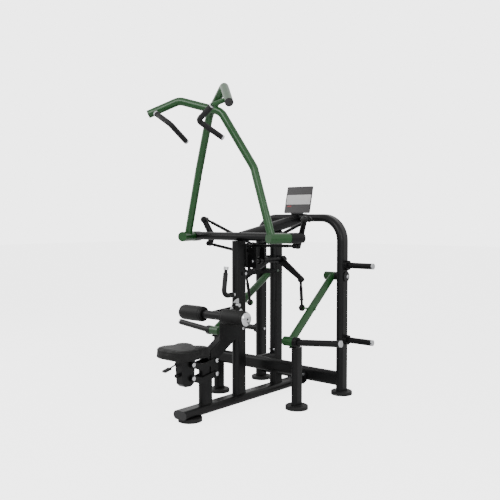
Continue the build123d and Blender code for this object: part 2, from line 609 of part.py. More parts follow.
def rocker(front_face):
    """Hub, short arm and long arm of the right rocker."""
    rocker_rear_y = long_arm_y + long_arm_thick + rocker_hub_tail
    hub = rod((rocker_x, rocker_front_y, rocker_z), (rocker_x, rocker_rear_y, rocker_z), rocker_hub_radius)
    face = Plane(origin=(rocker_x, 0, rocker_z), x_dir=(1, 0, 0), z_dir=(0, -1, 0))
    short = make_hull(Circle(rocker_hub_radius + short_arm_boss).edges()
                      + (Pos(0, short_arm) * Circle(short_arm_tip)).edges())
    end = (long_arm_end[0] - rocker_x, long_arm_end[1] - rocker_z)
    long = make_hull(Circle(long_arm_root).edges() + (Pos(*end) * Circle(long_arm_tip)).edges())
    body = hub + extrude(face.offset(-front_face - short_arm_thick) * short, short_arm_thick)
    body += extrude(face.offset(-long_arm_y - long_arm_thick) * long, long_arm_thick)
    return body - rocker_bore


drive_ball = on_shaft(drive_ball_station, *drive_pin)
sync_ball = on_shaft(sync_ball_station, *sync_pin)
tie_rod = link(tie_ball, tie_pin, (1, 0, 0), (0, 1, 0), tie_eye_radius, tie_ball_radius, tie_radius,
               tie_socket_radius)
for name, face_y in (("right", short_arm_y[0]), ("left", short_arm_y[1])):
    pin_y = face_y - open_reach
    drive_link = link(drive_ball, (rocker_x, pin_y, rocker_z + short_arm), tuple(shaft_rear), (0, 1, 0))
    pieces = (rocker(face_y), drive_link, tie_rod)
    for kind, piece in zip(("rocker", "drive_link", "tie_rod"), pieces):
        save(f"{kind}_{name}", piece if name == "right" else mirrored(piece))

# synchroniser lever: the right link holds its upper pin, the left link its lower pin
sync_dx, sync_dz = sync_radius * sin(radians(sync_lean)), sync_radius * cos(radians(sync_lean))
lower_dx, lower_dz = lower_radius * sin(radians(lower_lean)), lower_radius * cos(radians(lower_lean))
sync_plane = Plane(origin=(0, sync_y + sync_thick, sync_z), x_dir=(1, 0, 0), z_dir=(0, -1, 0))
sync_shape = make_hull((Pos(-sync_dx, sync_dz) * Circle(sync_tip)).edges()
                       + (Pos(lower_dx, -lower_dz) * Circle(sync_tip)).edges()
                       + Circle(sync_tip + 2).edges())
sync_lever = extrude(sync_plane * sync_shape, sync_thick)
sync_lever += rod((0, sync_y + sync_thick, sync_z), (0, sync_hub_end, sync_z), sync_tip)
sync_lever -= rod((0, cross_plate_y, sync_z), (0, sync_y + 2 * sync_thick, sync_z), sync_bolt_radius + running)
save("sync_lever", sync_lever)
sync_upper_pin = (-sync_dx, sync_y - open_reach, sync_z + sync_dz)
sync_lower_pin = (lower_dx, sync_y - open_reach, sync_z - lower_dz)
save("sync_link_right", link(sync_ball, sync_upper_pin, tuple(shaft_rear), (0, 1, 0)))
sync_ball_left = (-sync_ball[0], sync_ball[1], sync_ball[2])
save("sync_link_left", link(sync_ball_left, sync_lower_pin, (-shaft_rear.X, shaft_rear.Y, 0), (0, 1, 0)))


# ================================================================ weight arms
def weight_arm():
    """Pivot sleeve, arm tube, hub and tie rod stud on the right."""
    pivot = (weight_top_x, weight_pivot_y, weight_pivot_z)
    end = (weight_end_x, weight_end_y, weight_end_z)
    arm = rod(pivot, end, arm_radius, arm_radius - arm_wall)
    share = (weight_pivot_y - tie_ball[1]) / (weight_pivot_y - weight_end_y)
    tie_x = weight_top_x + (weight_end_x - weight_top_x) * share
    sleeve = rod((weight_sleeve_inner_x, weight_pivot_y, weight_pivot_z),
                 (weight_sleeve_outer_x, weight_pivot_y, weight_pivot_z), weight_sleeve_radius)
    hub = rod((weight_hub_inner_x, weight_end_y, weight_end_z),
              (weight_hub_outer_x, weight_end_y, weight_end_z), weight_hub_radius)
    hub_core = rod((weight_hub_inner_x + tube_wall, weight_end_y, weight_end_z),
                   (weight_hub_outer_x - tube_wall, weight_end_y, weight_end_z), weight_hub_radius - sleeve_wall)
    bore = rod((weight_sleeve_inner_x, weight_pivot_y, weight_pivot_z),
               (weight_sleeve_outer_x, weight_pivot_y, weight_pivot_z), shaft_radius + running)
    stud = ball_stud((tie_x + arm_radius / 2, *tie_ball[1:]), tie_ball, tie_ball_radius)
    outer_bolt = rod((tie_x + arm_radius / 2, *tie_ball[1:]), (tie_x + arm_radius + bolt_head, *tie_ball[1:]),
                     bolt_radius)
    return (arm + sleeve + hub) - hub_core - bore + stud + outer_bolt


load_root = (weight_hub_outer_x, weight_end_y, weight_end_z)
collar_end = (weight_hub_outer_x + load_collar_length, weight_end_y, weight_end_z)
load_collar = rod(load_root, collar_end, load_collar_radius)
cap_start = toward(load_tip, collar_end, horn_cap_length)
load_cap = rod(cap_start, load_tip, horn_radius)
load_root_plug = toward(collar_end, load_tip, -2 * horn_wall)
load_hollow = rod(collar_end, cap_start, horn_radius - horn_wall)
load_horn = load_collar + rod(load_root_plug, cap_start, horn_radius) - load_hollow
hub_bolt = bolt((weight_hub_inner_x, weight_end_y, weight_end_z), (-1, 0, 0))
arm = weight_arm()
for kind, pieces in (("weight_arm", [arm]), ("load_horn", [load_horn]),
                     ("weight_arm_fittings", [load_cap, hub_bolt])):
    save(f"{kind}_right", *pieces)
    save(f"{kind}_left", *[mirrored(piece) for piece in pieces])

# ================================================================ seat
seat_post = oval_tube((0, seat_post_y, base_top), (0, seat_post_y, seat_post_top), (0, 1, 0), seat_post_wide,
                      tube_thin, (False, True))
save("seat_post", seat_post)

# diagonal tube and the two side plates that hold the seat links
diagonal_run = Vector(*diagonal_high) - Vector(*diagonal_low)
diagonal_plane = Plane(origin=diagonal_low, x_dir=(1, 0, 0), z_dir=diagonal_run)
section = RectangleRounded(2 * cheek_half, diagonal_deep, diagonal_round)
section -= RectangleRounded(2 * cheek_half - 2 * tube_wall, diagonal_deep - 2 * tube_wall, diagonal_round - tube_wall)
diagonal = extrude(diagonal_plane * section, diagonal_run.length + tube_wide)
front_column_cut = leg_outline(0, front_column_y, tube_wide, tube_thin, hoop_top)
post_top_cut = box((-tube_thin, tube_thin), (0, 2 * seat_post_y), (0, seat_post_top + weld_gap))
behind_column = box((-tube_thin, tube_thin), (front_column_y, 2 * front_column_y), (0, hoop_top))
diagonal = diagonal - front_column_cut - post_top_cut - behind_column
diagonal = diagonal.solids().sort_by(SortBy.VOLUME)[-1]
cheek_inner = cheek_half + weld_gap
cheek_outer = cheek_inner + plate
cheek_low = ((168, 262), (240, 262), (240, 392), (474, 532), (534, 532), (534, 606))
gusset = ((474, gusset_top), (gusset_front_y, gusset_top), (gusset_front_y, 505), (168, 447))
right_cheek = slab(cheek_low + gusset, cheek_inner, cheek_outer)
left_cheek = slab(cheek_low + ((474, 606), (372, 571), (168, 447)), -cheek_outer, -cheek_inner)


def cross_bolt(y, z, reach, radius, head=bolt_radius):
    """Pivot bolt from side to side with a head at each end."""
    shank = rod((-reach, y, z), (reach, y, z), radius)
    return shank + both(rod((reach, y, z), (reach + bolt_head, y, z), head))


link_inner = cheek_outer + body_gap
link_outer = link_inner + link_thick
bolt_reach = link_outer + body_gap
rear_bolts = []
for height in (link_upper_z, link_lower_z):
    hole = rod((-tube_wide, link_rear_y, height), (tube_wide, link_rear_y, height), seat_bolt_radius + running)
    right_cheek -= hole
    left_cheek -= hole
    diagonal -= hole
    rear_bolts.append(cross_bolt(link_rear_y, height, bolt_reach, seat_bolt_radius))
save("seat_bracket", diagonal, right_cheek, left_cheek)


def seat_link(rear_z):
    """Sagging link plate on the right between the rear and front pivots."""
    sag_y = link_rear_y - link_length * link_sag_share
    spine = [(link_rear_y, rear_z), (sag_y, rear_z - link_sag), (link_rear_y - link_length, rear_z + link_rise)]
    side = Sketch()
    for start, end in zip(spine, spine[1:]):
        side += make_hull((Pos(*start) * Circle(link_width / 2)).edges()
                          + (Pos(*end) * Circle(link_width / 2)).edges())
    for end in (spine[0], spine[-1]):
        side -= Pos(*end) * Circle(seat_bolt_radius + running)
    return Pos(link_inner, 0, 0) * extrude(Plane.YZ * side, link_thick)


save("seat_link_upper", *both(seat_link(link_upper_z)))
save("seat_link_lower", *both(seat_link(link_lower_z)))

# seat carriage: a folded tapered box, open to the rear, with its base plate on top
front_pivot_y = link_rear_y - link_length
pad_low = seat_top - pad_thick
base_plate_low = pad_low - base_plate_thick
carriage_side = ((-112, base_plate_low), (-98, 268), (-72, 246), (-20, 242), (10, 262), (22, base_plate_low))
hollow_top = base_plate_low - carriage_wall
hollow_side = ((-107, hollow_top), (-93, 271), (-69, 251), (-21, 247), (60, 262), (60, hollow_top))
carriage = slab(carriage_side, -carriage_half, carriage_half)
carriage -= slab(hollow_side, -carriage_half + carriage_wall, carriage_half - carriage_wall)
lug_reach = link_inner - body_gap
front_bolts = []
for height in (link_upper_z + link_rise, link_lower_z + link_rise):
    carriage += rod((-lug_reach, front_pivot_y, height), (lug_reach, front_pivot_y, height), boss_radius)
    carriage -= rod((-tube_wide, front_pivot_y, height), (tube_wide, front_pivot_y, height),
                    seat_bolt_radius + running)
    front_bolts.append(cross_bolt(front_pivot_y, height, bolt_reach, seat_bolt_radius))
carriage += box((-base_plate_half, base_plate_half), (base_plate_front, base_plate_rear), (base_plate_low, pad_low))
bumper = rod((0, carriage_side[0][0] - bumper_length, bumper_z), (0, carriage_side[2][0], bumper_z), bumper_radius)
carriage += bumper
save("seat_carriage", carriage)
save("seat_bolts", *front_bolts)

pad_half = ((0, -215), (70, -212), (125, -190), (152, -145), (150, -85), (140, -30), (146, 25), (120, 72), (66, 84),
            (36, 68), (0, 58))
pad_edge = Spline(*pad_half, tangents=((1, 0), (-1, 0)))
pad_side = make_face(pad_edge + Line(pad_half[-1], pad_half[0]))
pad_face = pad_side + mirror(pad_side, about=Plane.YZ)
seat_pad = Pos(0, 0, pad_low) * extrude(pad_face, pad_thick)
save("seat_pad", seat_pad)

# seat lever: pivots on the carriage's left side under the pad
hub_face = -carriage_half - body_gap
lever_x = -carriage_half - seat_lever_out
hub_back = lever_x - seat_lever_bar - tube_wall
seat_lever = rod((hub_face, seat_lever_y, seat_lever_z), (hub_back, seat_lever_y, seat_lever_z), seat_lever_hub)
seat_lever += rod((lever_x, seat_lever_y, seat_lever_z), (lever_x, paddle_y, paddle_z), seat_lever_bar)
paddle = Box(paddle_wide, paddle_long, paddle_thick)
seat_lever += Pos(lever_x, paddle_y, paddle_z) * Rot(paddle_lean, 0, 0) * paddle
save("seat_lever", seat_lever)

# ================================================================ thigh rollers
# the fork's plates straddle the column; the sector plate lies between column and fork
sector_inner = cheek_inner
sector_outer = sector_inner + sector_thick
fork_inner = max(cheek_outer, sector_outer) + 2 * weld_gap
fork_outer = fork_inner + fork_thick
pull_at = (roller_pivot_y + sector_hole_radius * cos(radians(pull_angle)),
           roller_pivot_z + sector_hole_radius * sin(radians(pull_angle)))


def side_hull(first, first_radius, second, second_radius):
    """Outline in the YZ plane round two circles."""
    return make_hull((Pos(*first) * Circle(first_radius)).edges() + (Pos(*second) * Circle(second_radius)).edges())


pivot_at = (roller_pivot_y, roller_pivot_z)
fork_side = side_hull(pivot_at, fork_root, (roller_y, roller_z), fork_tip)
fork = extrude(Pos(fork_inner, 0, 0) * (Plane.YZ * fork_side), fork_thick)
lug_side = side_hull(pivot_at, fork_root, pull_at, pull_lug_radius)
pull_lug = extrude(Pos(fork_inner, 0, 0) * (Plane.YZ * lug_side), fork_thick)
pull_house_end = fork_outer + pull_house_length
pull_house = rod((fork_inner, *pull_at), (pull_house_end, *pull_at), pull_house_radius)
tube_half = roller_inner_x - 2 * tube_wall
cross_tube = rod((-tube_half, roller_y, roller_z), (tube_half, roller_y, roller_z), cross_tube_radius)
axle_half = roller_outer_x + body_gap
axle = rod((-axle_half, roller_y, roller_z), (axle_half, roller_y, roller_z), axle_radius)
pull_bore = rod((0, *pull_at), (2 * pull_house_end, *pull_at), pull_radius + running)
roller_arm = cross_tube + axle + both(fork) + pull_lug + pull_house - roller_bore - pull_bore
save("roller_arm", roller_arm)
# drawn clear of the sector, ready to turn; it drops into a hole when let go
pull_tip = sector_inner + sector_thick + body_gap
knob_face = pull_house_end + body_gap + sector_thick
pull_pin = rod((pull_tip, *pull_at), (knob_face + knob_length, *pull_at), pull_radius)
pull_pin += rod((knob_face, *pull_at), (knob_face + knob_length, *pull_at), knob_radius)
save("pull_pin", pull_pin)

fan = [(sector_radius * cos(radians(angle)), sector_radius * sin(radians(angle))) for angle in
       (sector_angles[0], sum(sector_angles) / 2, sector_angles[1])]
fan_edge = ThreePointArc(*fan)
sector_face = make_face(fan_edge + Polyline(fan[2], (0, 0), fan[0])) + Circle(sector_hub)
sector_face -= Circle(pivot_bolt_radius + running)
for step in range(-1, 3):
    angle = radians(pull_angle - step * sector_step)
    hole = Pos(sector_hole_radius * cos(angle), sector_hole_radius * sin(angle))
    sector_face -= hole * Circle(pull_radius + pull_slack)
sector_plane = Plane(origin=(sector_inner, *pivot_at), x_dir=(0, 1, 0), z_dir=(1, 0, 0))
save("roller_sector", extrude(sector_plane * sector_face, sector_thick))
for side, name in ((1, "right"), (-1, "left")):
    foam = rod((side * roller_inner_x, roller_y, roller_z), (side * roller_outer_x, roller_y, roller_z),
               roller_radius, axle_radius + 2 * running)
    save(f"thigh_roller_{name}", foam)
dome_place = Pos(axle_half, roller_y, roller_z) * Rot(0, 90, 0)
from_base = (Align.CENTER, Align.CENTER, Align.MIN)
dome = dome_place * Cylinder(dome_radius, dome_rim, align=from_base)
dome += dome_place * Pos(0, 0, dome_rim) * Cone(dome_radius, dome_tip, dome_rise, align=from_base)
save("roller_caps", *both(dome))

# ================================================================ column handle, placard, caps, bolts
column_front = front_column_y - tube_wide / 2
handle_points = ((0, column_front, handle_low_z), (0, handle_bend_y, handle_low_z), (0, handle_top_y, handle_top_z))
column_handle = bent_tube(handle_points, [handle_bend], handle_radius)
column_handle -= front_column_cut
save("column_handle", column_handle)
grip_start = toward(handle_points[1], handle_points[2], handle_grip_start)
column_grip = rod(grip_start, handle_points[2], grip_radius, handle_radius + running)
save("column_handle_grip", column_grip)
handle_run = (Vector(*handle_points[2]) - Vector(*handle_points[1])).length
handle_cap_end = toward(handle_points[1], handle_points[2], handle_run + handle_cap_length)
handle_cap = rod(handle_points[2], handle_cap_end, grip_radius + 1)
handle_collar = rod((0, column_front - handle_collar_length, handle_low_z), (0, column_front, handle_low_z),
                    handle_collar_radius, handle_radius + running)

placard_low = (0, placard_y, placard_z)
placard_up = Vector(0, sin(radians(placard_lean)), cos(radians(placard_lean)))
placard_normal = Vector(0, -cos(radians(placard_lean)), sin(radians(placard_lean)))
placard_mid = Vector(*placard_low) + placard_up * (placard_tall / 2)
placard_plane = Plane(origin=tuple(placard_mid), x_dir=(1, 0, 0), z_dir=tuple(placard_normal))
placard = extrude(placard_plane * RectangleRounded(placard_wide, placard_tall, placard_corner), placard_thick)
save("placard_plate", placard)
tab_low = hoop_top - placard_z
tab_plane = placard_plane.offset(-weld_gap - tab_thick)
tab_middle = tab_low + (tab_tall - placard_tall) / 2
tab = extrude(tab_plane * Pos(0, tab_middle) * Rectangle(tab_wide, tab_tall), tab_thick)
tab_foot = box((-tab_wide / 2, tab_wide / 2), (placard_y, placard_y + tab_foot_depth), (hoop_top, hoop_top + tab_thick))
bracket_cut = box((-placard_wide, placard_wide), (column_front, 2 * placard_y), (0, hoop_top))
boom_cut = oval_bar(tuple(boom_start), tuple(boom_end), tuple(boom_normal), boom_depth + 2 * weld_gap,
                    tube_thin + 2 * weld_gap)
save("placard_bracket", (tab + tab_foot) - bracket_cut - boom_cut)

cap_thick = 4.0
base_cap = oval_bar((0, base_front_y - cap_thick, base_mid), (0, base_front_y, base_mid), (1, 0, 0), tube_wide,
                    tube_thin)
save("tube_caps", base_cap)

flange_bolt_x, flange_bolt_z = 70.0, 112.0
rail_bolt_inset = 30.0
rail_middle = (rail_low + rail_high) / 2
cover_bolt_radius, cover_bolt_head = 14.0, 8.0
bolts = both(bolt((flange_bolt_x, base_rear_y, flange_bolt_z), (0, -1, 0)))
bolts += both(bolt((cheek_outer, front_column_y, diagonal_high[2]), (1, 0, 0)))
for y in (front_column_y + rail_bolt_inset, rear_column_y - rail_bolt_inset):
    bolts += both(bolt((side_plate_inner + plate, y, rail_middle), (1, 0, 0)))
bolts += both(rocker_shaft_bolt)
bolts += both(bolt((leg_outer + cover_thick, weight_pivot_y, weight_pivot_z), (1, 0, 0), cover_bolt_radius,
                   cover_bolt_head))
bolts += both(bolt((axle_inner_x - tube_wall, weight_pivot_y, weight_pivot_z), (-1, 0, 0)))
roller_bolt = cross_bolt(*pivot_at, fork_outer + body_gap, pivot_bolt_radius, pivot_washer_radius)
left_spacer = rod((-fork_inner + body_gap, *pivot_at), (-cheek_inner, *pivot_at), pivot_washer_radius)
save("frame_fittings", *bolts, *horn_caps, *rear_bolts, roller_bolt + left_spacer, handle_cap, handle_collar)
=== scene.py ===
import json
import math

import bpy
from bpy.props import FloatProperty, FloatVectorProperty, PointerProperty
from mathutils import Matrix, Vector


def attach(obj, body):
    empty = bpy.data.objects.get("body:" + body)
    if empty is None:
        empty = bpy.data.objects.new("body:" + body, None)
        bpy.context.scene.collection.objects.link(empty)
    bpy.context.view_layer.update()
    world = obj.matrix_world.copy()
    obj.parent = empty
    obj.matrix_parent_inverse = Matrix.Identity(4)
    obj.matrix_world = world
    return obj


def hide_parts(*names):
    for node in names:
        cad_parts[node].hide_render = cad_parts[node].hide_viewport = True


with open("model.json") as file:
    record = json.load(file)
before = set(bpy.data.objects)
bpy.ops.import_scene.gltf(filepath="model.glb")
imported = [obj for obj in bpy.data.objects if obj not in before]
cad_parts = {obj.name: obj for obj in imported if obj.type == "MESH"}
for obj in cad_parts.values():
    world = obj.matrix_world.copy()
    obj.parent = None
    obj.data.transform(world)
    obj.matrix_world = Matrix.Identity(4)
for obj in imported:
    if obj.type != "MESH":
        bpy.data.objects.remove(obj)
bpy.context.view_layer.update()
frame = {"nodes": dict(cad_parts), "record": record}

bl_info = {
    "name": "Lat pulldown machine",
    "version": (1, 0, 0),
    "blender": (4, 5, 0),
    "location": "3D View > Sidebar > Lat Pulldown",
    "description": "Finishes, cushions, grips, welds and fasteners for a plate-loaded lat pulldown machine",
    "category": "Object",
}

MM = 0.001

# Places in millimetres, in the frame of the solids: +X right, +Y rear, +Z up
SHAFT_FACE = Vector((412.0, 331.0, 1236.0))
SPLAY = math.radians(16.7)
SHAFT_REAR = Vector((math.sin(SPLAY), math.cos(SPLAY), 0.0))
SHAFT_OUT = Vector((math.cos(SPLAY), -math.sin(SPLAY), 0.0))
SLEEVE_LENGTH = 174.0
GRIP_PATH = (Vector((267, -54, 2090)), Vector((130, -46, 2005)), Vector((170, 134, 1913)))
GRIP_BEND = 30.0
GRIP_COLLAR = 10.0
GRIP_RADIUS = 18.8
GRIP_RINGS = {   # distance from the grip's end: share of its radius
    0: 0.86, 0.6: 0.95, 2: 1.0, 6: 1.0, 7: 0.95, 8: 0.95, 9: 1.0, 12: 1.0, 13: 0.95, 14: 0.95, 15: 1.0}
FIXED_GRIP_RADIUS = 18.0
HANDLE_PATH = (Vector((0, 436, 820)), Vector((0, 338, 820)), Vector((0, 361, 984)))
HANDLE_BEND = 40.0
LINKS = {   # body: ball end, pin end, sleeve radius
    "right_drive_link": (Vector((497.5, 682.2, 1364)), Vector((60, 688.3, 1174)), 12.0),
    "left_drive_link": (Vector((-497.5, 682.2, 1364)), Vector((-60, 736.3, 1174)), 12.0),
    "right_sync_link": (Vector((417.5, 620.6, 1178)), Vector((-28.9, 630.5, 1170.8)), 11.5),
    "left_sync_link": (Vector((-417.5, 620.6, 1178)), Vector((28.8, 630.5, 1104.5)), 11.5),
    "right_tie_rod": (Vector((256, 936, 697)), Vector((267, 902.3, 914)), 12.5),
    "left_tie_rod": (Vector((-256, 936, 697)), Vector((-267, 902.3, 914)), 12.5),
}
LEVER_HUB = (279.0, 0.0, 0.0)       # station behind the sleeve's face, out, up
LEVER_ELBOW = (334.0, -82.0, 0.0)
LEVER_DRIVE = (322.0, -19.0, 128.0)
LEVER_SYNC = (312.0, -78.0, -58.0)
SOCKET_LENGTH = 60.0
SEAT_TOP = 512.0
PAD_LOW = 445.0
PAD_MIDDLE = Vector((0, -70))
PAD_HALF = ((0, -215), (70, -212), (125, -190), (152, -145), (150, -85), (140, -30), (146, 25), (120, 72),
            (66, 84), (36, 68), (0, 58))
ROLLER_Y, ROLLER_Z = 234.0, 693.0
ROLLER_INNER, ROLLER_OUTER, ROLLER_RADIUS = 90.0, 300.0, 55.0
ROLLER_SKIN = 1.5
ROLLER_END = (   # along from the end, how far the skin stands off the core
    (0.0, -13), (1.5, -6), (5, -1.8), (10, -0.2), (16, 0.4), (17.5, -0.6), (19, 0.4))
DOME_RADIUS, DOME_GAP, DOME_SCREW_SEAT = 48.0, 0.3, 13.0
DOME_PROFILE = (   # along from the cap's seat, radius
    (0.0, 46.0), (0.8, 47.8), (3.0, 48.0), (5.5, 47.0), (8.0, 43.5), (10.5, 37.5), (12.6, 29.0),
    (14.0, 20.0), (14.7, 13.0), (14.8, 9.5), (13.6, 8.2))
PLACARD_LOW = Vector((0, 1216, 1415))
PLACARD_LEAN = math.radians(13.1)
PLACARD_THICK = 3.0
COLUMN_SEAMS = (((0, 504, 87.5), 120, 60), ((0, 945, 87.5), 120, 60), ((0, 150, 87.5), 110, 60))
LEG_SEAMS = (((406, 1260, 27.5), 110, 60), ((381, 701, 27.5), 96, 50))
HORN_HEIGHTS, HORN_SEAM_RADIUS = (432, 1011), 38
SLEEVE_SEAM_RADIUS, SLEEVE_SEAM_INSET = 35.2, 4.0
OUTWARD, FORWARD = (1, 0, 0), (0, -1, 0)
BOLTS = (   # body, place on the right-hand side, facing, radius of the head
    ("frame", (51.8, 214, 384), OUTWARD, 15.5),
    ("frame", (51.8, 214, 291), OUTWARD, 15.5),
    ("seat_carriage", (51.8, -14, 390), OUTWARD, 15.5),
    ("seat_carriage", (51.8, -14, 297), OUTWARD, 15.5),
    ("frame", (52.0, 466, 705), OUTWARD, 15.5),
    ("frame", (452.0, 1265, 923), OUTWARD, 13.5),
    ("frame", (60.0, 582.8, 1057), FORWARD, 10.5),
    ("frame", (36.2, 534, 970), OUTWARD, 10.5),
    ("frame", (36.2, 915, 970), OUTWARD, 10.5),
    ("frame", (20.0, 892.0, 357), FORWARD, 7.5),
)
NUT_HEIGHT, NUT_PROUD = 9, 2.5
SLEEVE_START, SLEEVE_FULL = 8, 10   # how far past its socket a link's sleeve starts and is full
EYE_PROFILE = ((-14, 0.6), (-13, 0.85), (-11, 0.97), (-9, 1), (9, 1), (11, 0.97), (13, 0.85), (14, 0.6))
TIE_BALL_EYE, TIE_PIN_EYE = 25.0, 21.0
RIB_RADIUS = 18
BOSS_PROFILE = ((-7.5, 0.96), (-6, 1.0), (14, 1.0), (17, 0.93), (19, 0.8), (20, 0.55))
LIGHTS = (   # name, place and size in metres, watts
    ("key_light", (1.2, -4.2, 4.2), 3.0, 150),
    ("side_light", (5.0, -0.5, 2.6), 2.5, 90),
    ("left_light", (-4.0, -1.5, 3.0), 2.5, 60),
)
LIGHT_AIM = Vector((0, 0.5, 1.0))
CAMERA_PLACE = (3.219, -3.182, 1.366)
CAMERA_TURN = (math.radians(87.38), 0, math.radians(40.18))
CAMERA_LENS, CAMERA_SENSOR = 48.39, 36


def to_linear(code):
    """sRGB hex code as linear red, green, blue and alpha."""
    parts = [int(code[i:i + 2], 16) / 255 for i in (1, 3, 5)]
    return [c / 12.92 if c <= 0.04045 else ((c + 0.055) / 1.055) ** 2.4 for c in parts] + [1.0]


# ---------------------------------------------------------------- what a user can change
class LatSizes(bpy.types.PropertyGroup):
    """Sizes of the pieces that are modelled here."""
    pad_shrink: FloatProperty(
        name="Cushion cut", description="How much smaller the foam is cut than the cushion",
        default=0.5 * MM, unit="LENGTH")
    pad_edge: FloatProperty(
        name="Cushion edge", description="Rounding of the cushion's edge", default=13.0 * MM, unit="LENGTH")
    piping: FloatProperty(
        name="Piping", description="Radius of the seam's piping", default=2.2 * MM, unit="LENGTH")
    roller_crown: FloatProperty(
        name="Roller crown", description="How much fuller the rollers are in the middle",
        default=1.5 * MM, unit="LENGTH")
    weld_bead: FloatProperty(
        name="Weld bead", description="Radius of a weld bead", default=3.0 * MM, unit="LENGTH")
    bolt_dome: FloatProperty(
        name="Bolt dome", description="Height of a bolt's domed head", default=4.0 * MM, unit="LENGTH")
    sheet_thick: FloatProperty(
        name="Printed sheet", description="Thickness of the placard's printed sheets",
        default=0.6 * MM, unit="LENGTH")


class LatColours(bpy.types.PropertyGroup):
    """Colours of the finishes."""
    frame_coat: FloatVectorProperty(
        name="Frame", description="Black powder coat of the frame", subtype="COLOR", size=4,
        default=to_linear("#0e0e0f"), min=0, max=1)
    arm_paint: FloatVectorProperty(
        name="Arms", description="Gloss green paint of the arms", subtype="COLOR", size=4,
        default=to_linear("#174b1d"), min=0, max=1)
    grip_rubber: FloatVectorProperty(
        name="Grips", description="Moulded rubber of the grips and feet", subtype="COLOR", size=4,
        default=to_linear("#0d0d0e"), min=0, max=1)
    seat_vinyl: FloatVectorProperty(
        name="Cushions", description="Vinyl of the seat and rollers", subtype="COLOR", size=4,
        default=to_linear("#0d0d0d"), min=0, max=1)
    sheet_dark: FloatVectorProperty(
        name="Placard dark", description="Dark panels of the placard", subtype="COLOR", size=4,
        default=to_linear("#242022"), min=0, max=1)
    sheet_light: FloatVectorProperty(
        name="Placard light", description="Light panel of the placard", subtype="COLOR", size=4,
        default=to_linear("#dfdddd"), min=0, max=1)
    sheet_tag: FloatVectorProperty(
        name="Placard tag", description="Small tag on the placard", subtype="COLOR", size=4,
        default=to_linear("#a12a2e"), min=0, max=1)


# ---------------------------------------------------------------- finishes
def add_node(tree, kind, settings=None, sockets=None):
    """Adds one node; a socket takes a value or another node's output."""
    made = tree.nodes.new(kind)
    for key, value in (settings or {}).items():
        setattr(made, key, value)
    for key, value in (sockets or {}).items():
        if isinstance(value, bpy.types.NodeSocket):
            tree.links.new(value, made.inputs[key])
        else:
            made.inputs[key].default_value = value
    return made


def shade(colour, factor):
    """The colour made darker or lighter."""
    return [min(1.0, c * factor) for c in colour[:3]] + [1.0]


def finish(name, colour, cloud_mm, spread, grain_mm, grain_depth_mm, roughness, grain="noise", sockets=None):
    """Surface with drifting colour and gloss and a fine grain, both at their real sizes."""
    if name in bpy.data.materials:
        return bpy.data.materials[name]
    made = bpy.data.materials.new(name)
    made.use_nodes = True
    tree = made.node_tree
    surface = tree.nodes["Principled BSDF"]
    place = add_node(tree, "ShaderNodeTexCoord").outputs["Object"]
    clouds = add_node(tree, "ShaderNodeTexNoise", None,
                      {"Vector": place, "Scale": 1 / (cloud_mm * MM), "Detail": 4.0, "Roughness": 0.55})
    ramp = add_node(tree, "ShaderNodeValToRGB", None, {"Fac": clouds.outputs["Fac"]})
    ramp.color_ramp.elements[0].color = shade(colour, 1 - spread)
    ramp.color_ramp.elements[0].position = 0.3
    ramp.color_ramp.elements[1].color = shade(colour, 1 + spread)
    ramp.color_ramp.elements[1].position = 0.7
    gloss = add_node(tree, "ShaderNodeMapRange", None,
                     {"Value": clouds.outputs["Fac"], "To Min": roughness[0], "To Max": roughness[1]})
    if grain == "cells":
        grains = add_node(tree, "ShaderNodeTexVoronoi", {"feature": "SMOOTH_F1"},
                          {"Vector": place, "Scale": 1 / (grain_mm * MM)})
        height = grains.outputs["Distance"]
    else:
        grains = add_node(tree, "ShaderNodeTexNoise", None,
                          {"Vector": place, "Scale": 1 / (grain_mm * MM), "Detail": 2.0})
        height = grains.outputs["Fac"]
    bump = add_node(tree, "ShaderNodeBump", None, {"Height": height, "Distance": grain_depth_mm * MM,
                                                   "Strength": 1.0})
    tree.links.new(ramp.outputs["Color"], surface.inputs["Base Color"])
    tree.links.new(gloss.outputs["Result"], surface.inputs["Roughness"])
    tree.links.new(bump.outputs["Normal"], surface.inputs["Normal"])
    for key, value in (sockets or {}).items():
        surface.inputs[key].default_value = value
    return made


def powder_coat():
    # Black polyester powder baked on steel: satin, with a faint orange peel that softens highlights
    return finish("satin_powder_coat_on_steel", bpy.context.scene.lat_colours.frame_coat, 60, 0.12, 5.0, 0.03,
                  (0.30, 0.40),
                  sockets={"Specular IOR Level": 0.19, "Coat Weight": 0.04, "Coat Roughness": 0.25})


def arm_paint():
    # Wet-sprayed green enamel under clear lacquer: deep colour with a sharp highlight
    return finish("gloss_green_lacquer_on_steel", bpy.context.scene.lat_colours.arm_paint, 45, 0.10, 4.0,
                  0.008, (0.28, 0.36), sockets={"Metallic": 0.05, "Coat Weight": 0.25,
                                                "Coat Roughness": 0.15, "Specular IOR Level": 0.35})


def moulded_rubber():
    # Compression-moulded rubber: dull, with a pebbled skin drawn at 2 mm so that it shows
    return finish("moulded_rubber", bpy.context.scene.lat_colours.grip_rubber, 25, 0.18, 2.0, 0.12,
                  (0.55, 0.7), grain="cells", sockets={"Specular IOR Level": 0.35})


def seat_vinyl():
    # Calendered PVC with an embossed leather grain, drawn at 3 mm so that it shows; a soft sheen
    return finish("embossed_vinyl", bpy.context.scene.lat_colours.seat_vinyl, 40, 0.15, 3.0, 0.08,
                  (0.42, 0.55), grain="cells", sockets={"Specular IOR Level": 0.22})


def bright_chrome():
    # Electroplated chrome over polished steel: mirror with faint polishing haze
    return finish("bright_chrome_plate", to_linear("#d4d5d8"), 20, 0.03, 6.0, 0.004, (0.10, 0.20),
                  sockets={"Metallic": 1.0})


def moulded_plastic():
    # Injection-moulded polyethylene plugs: matt black with a spark-eroded texture
    return finish("moulded_polyethylene", to_linear("#1a1a1b"), 30, 0.1, 1.5, 0.05, (0.45, 0.6))


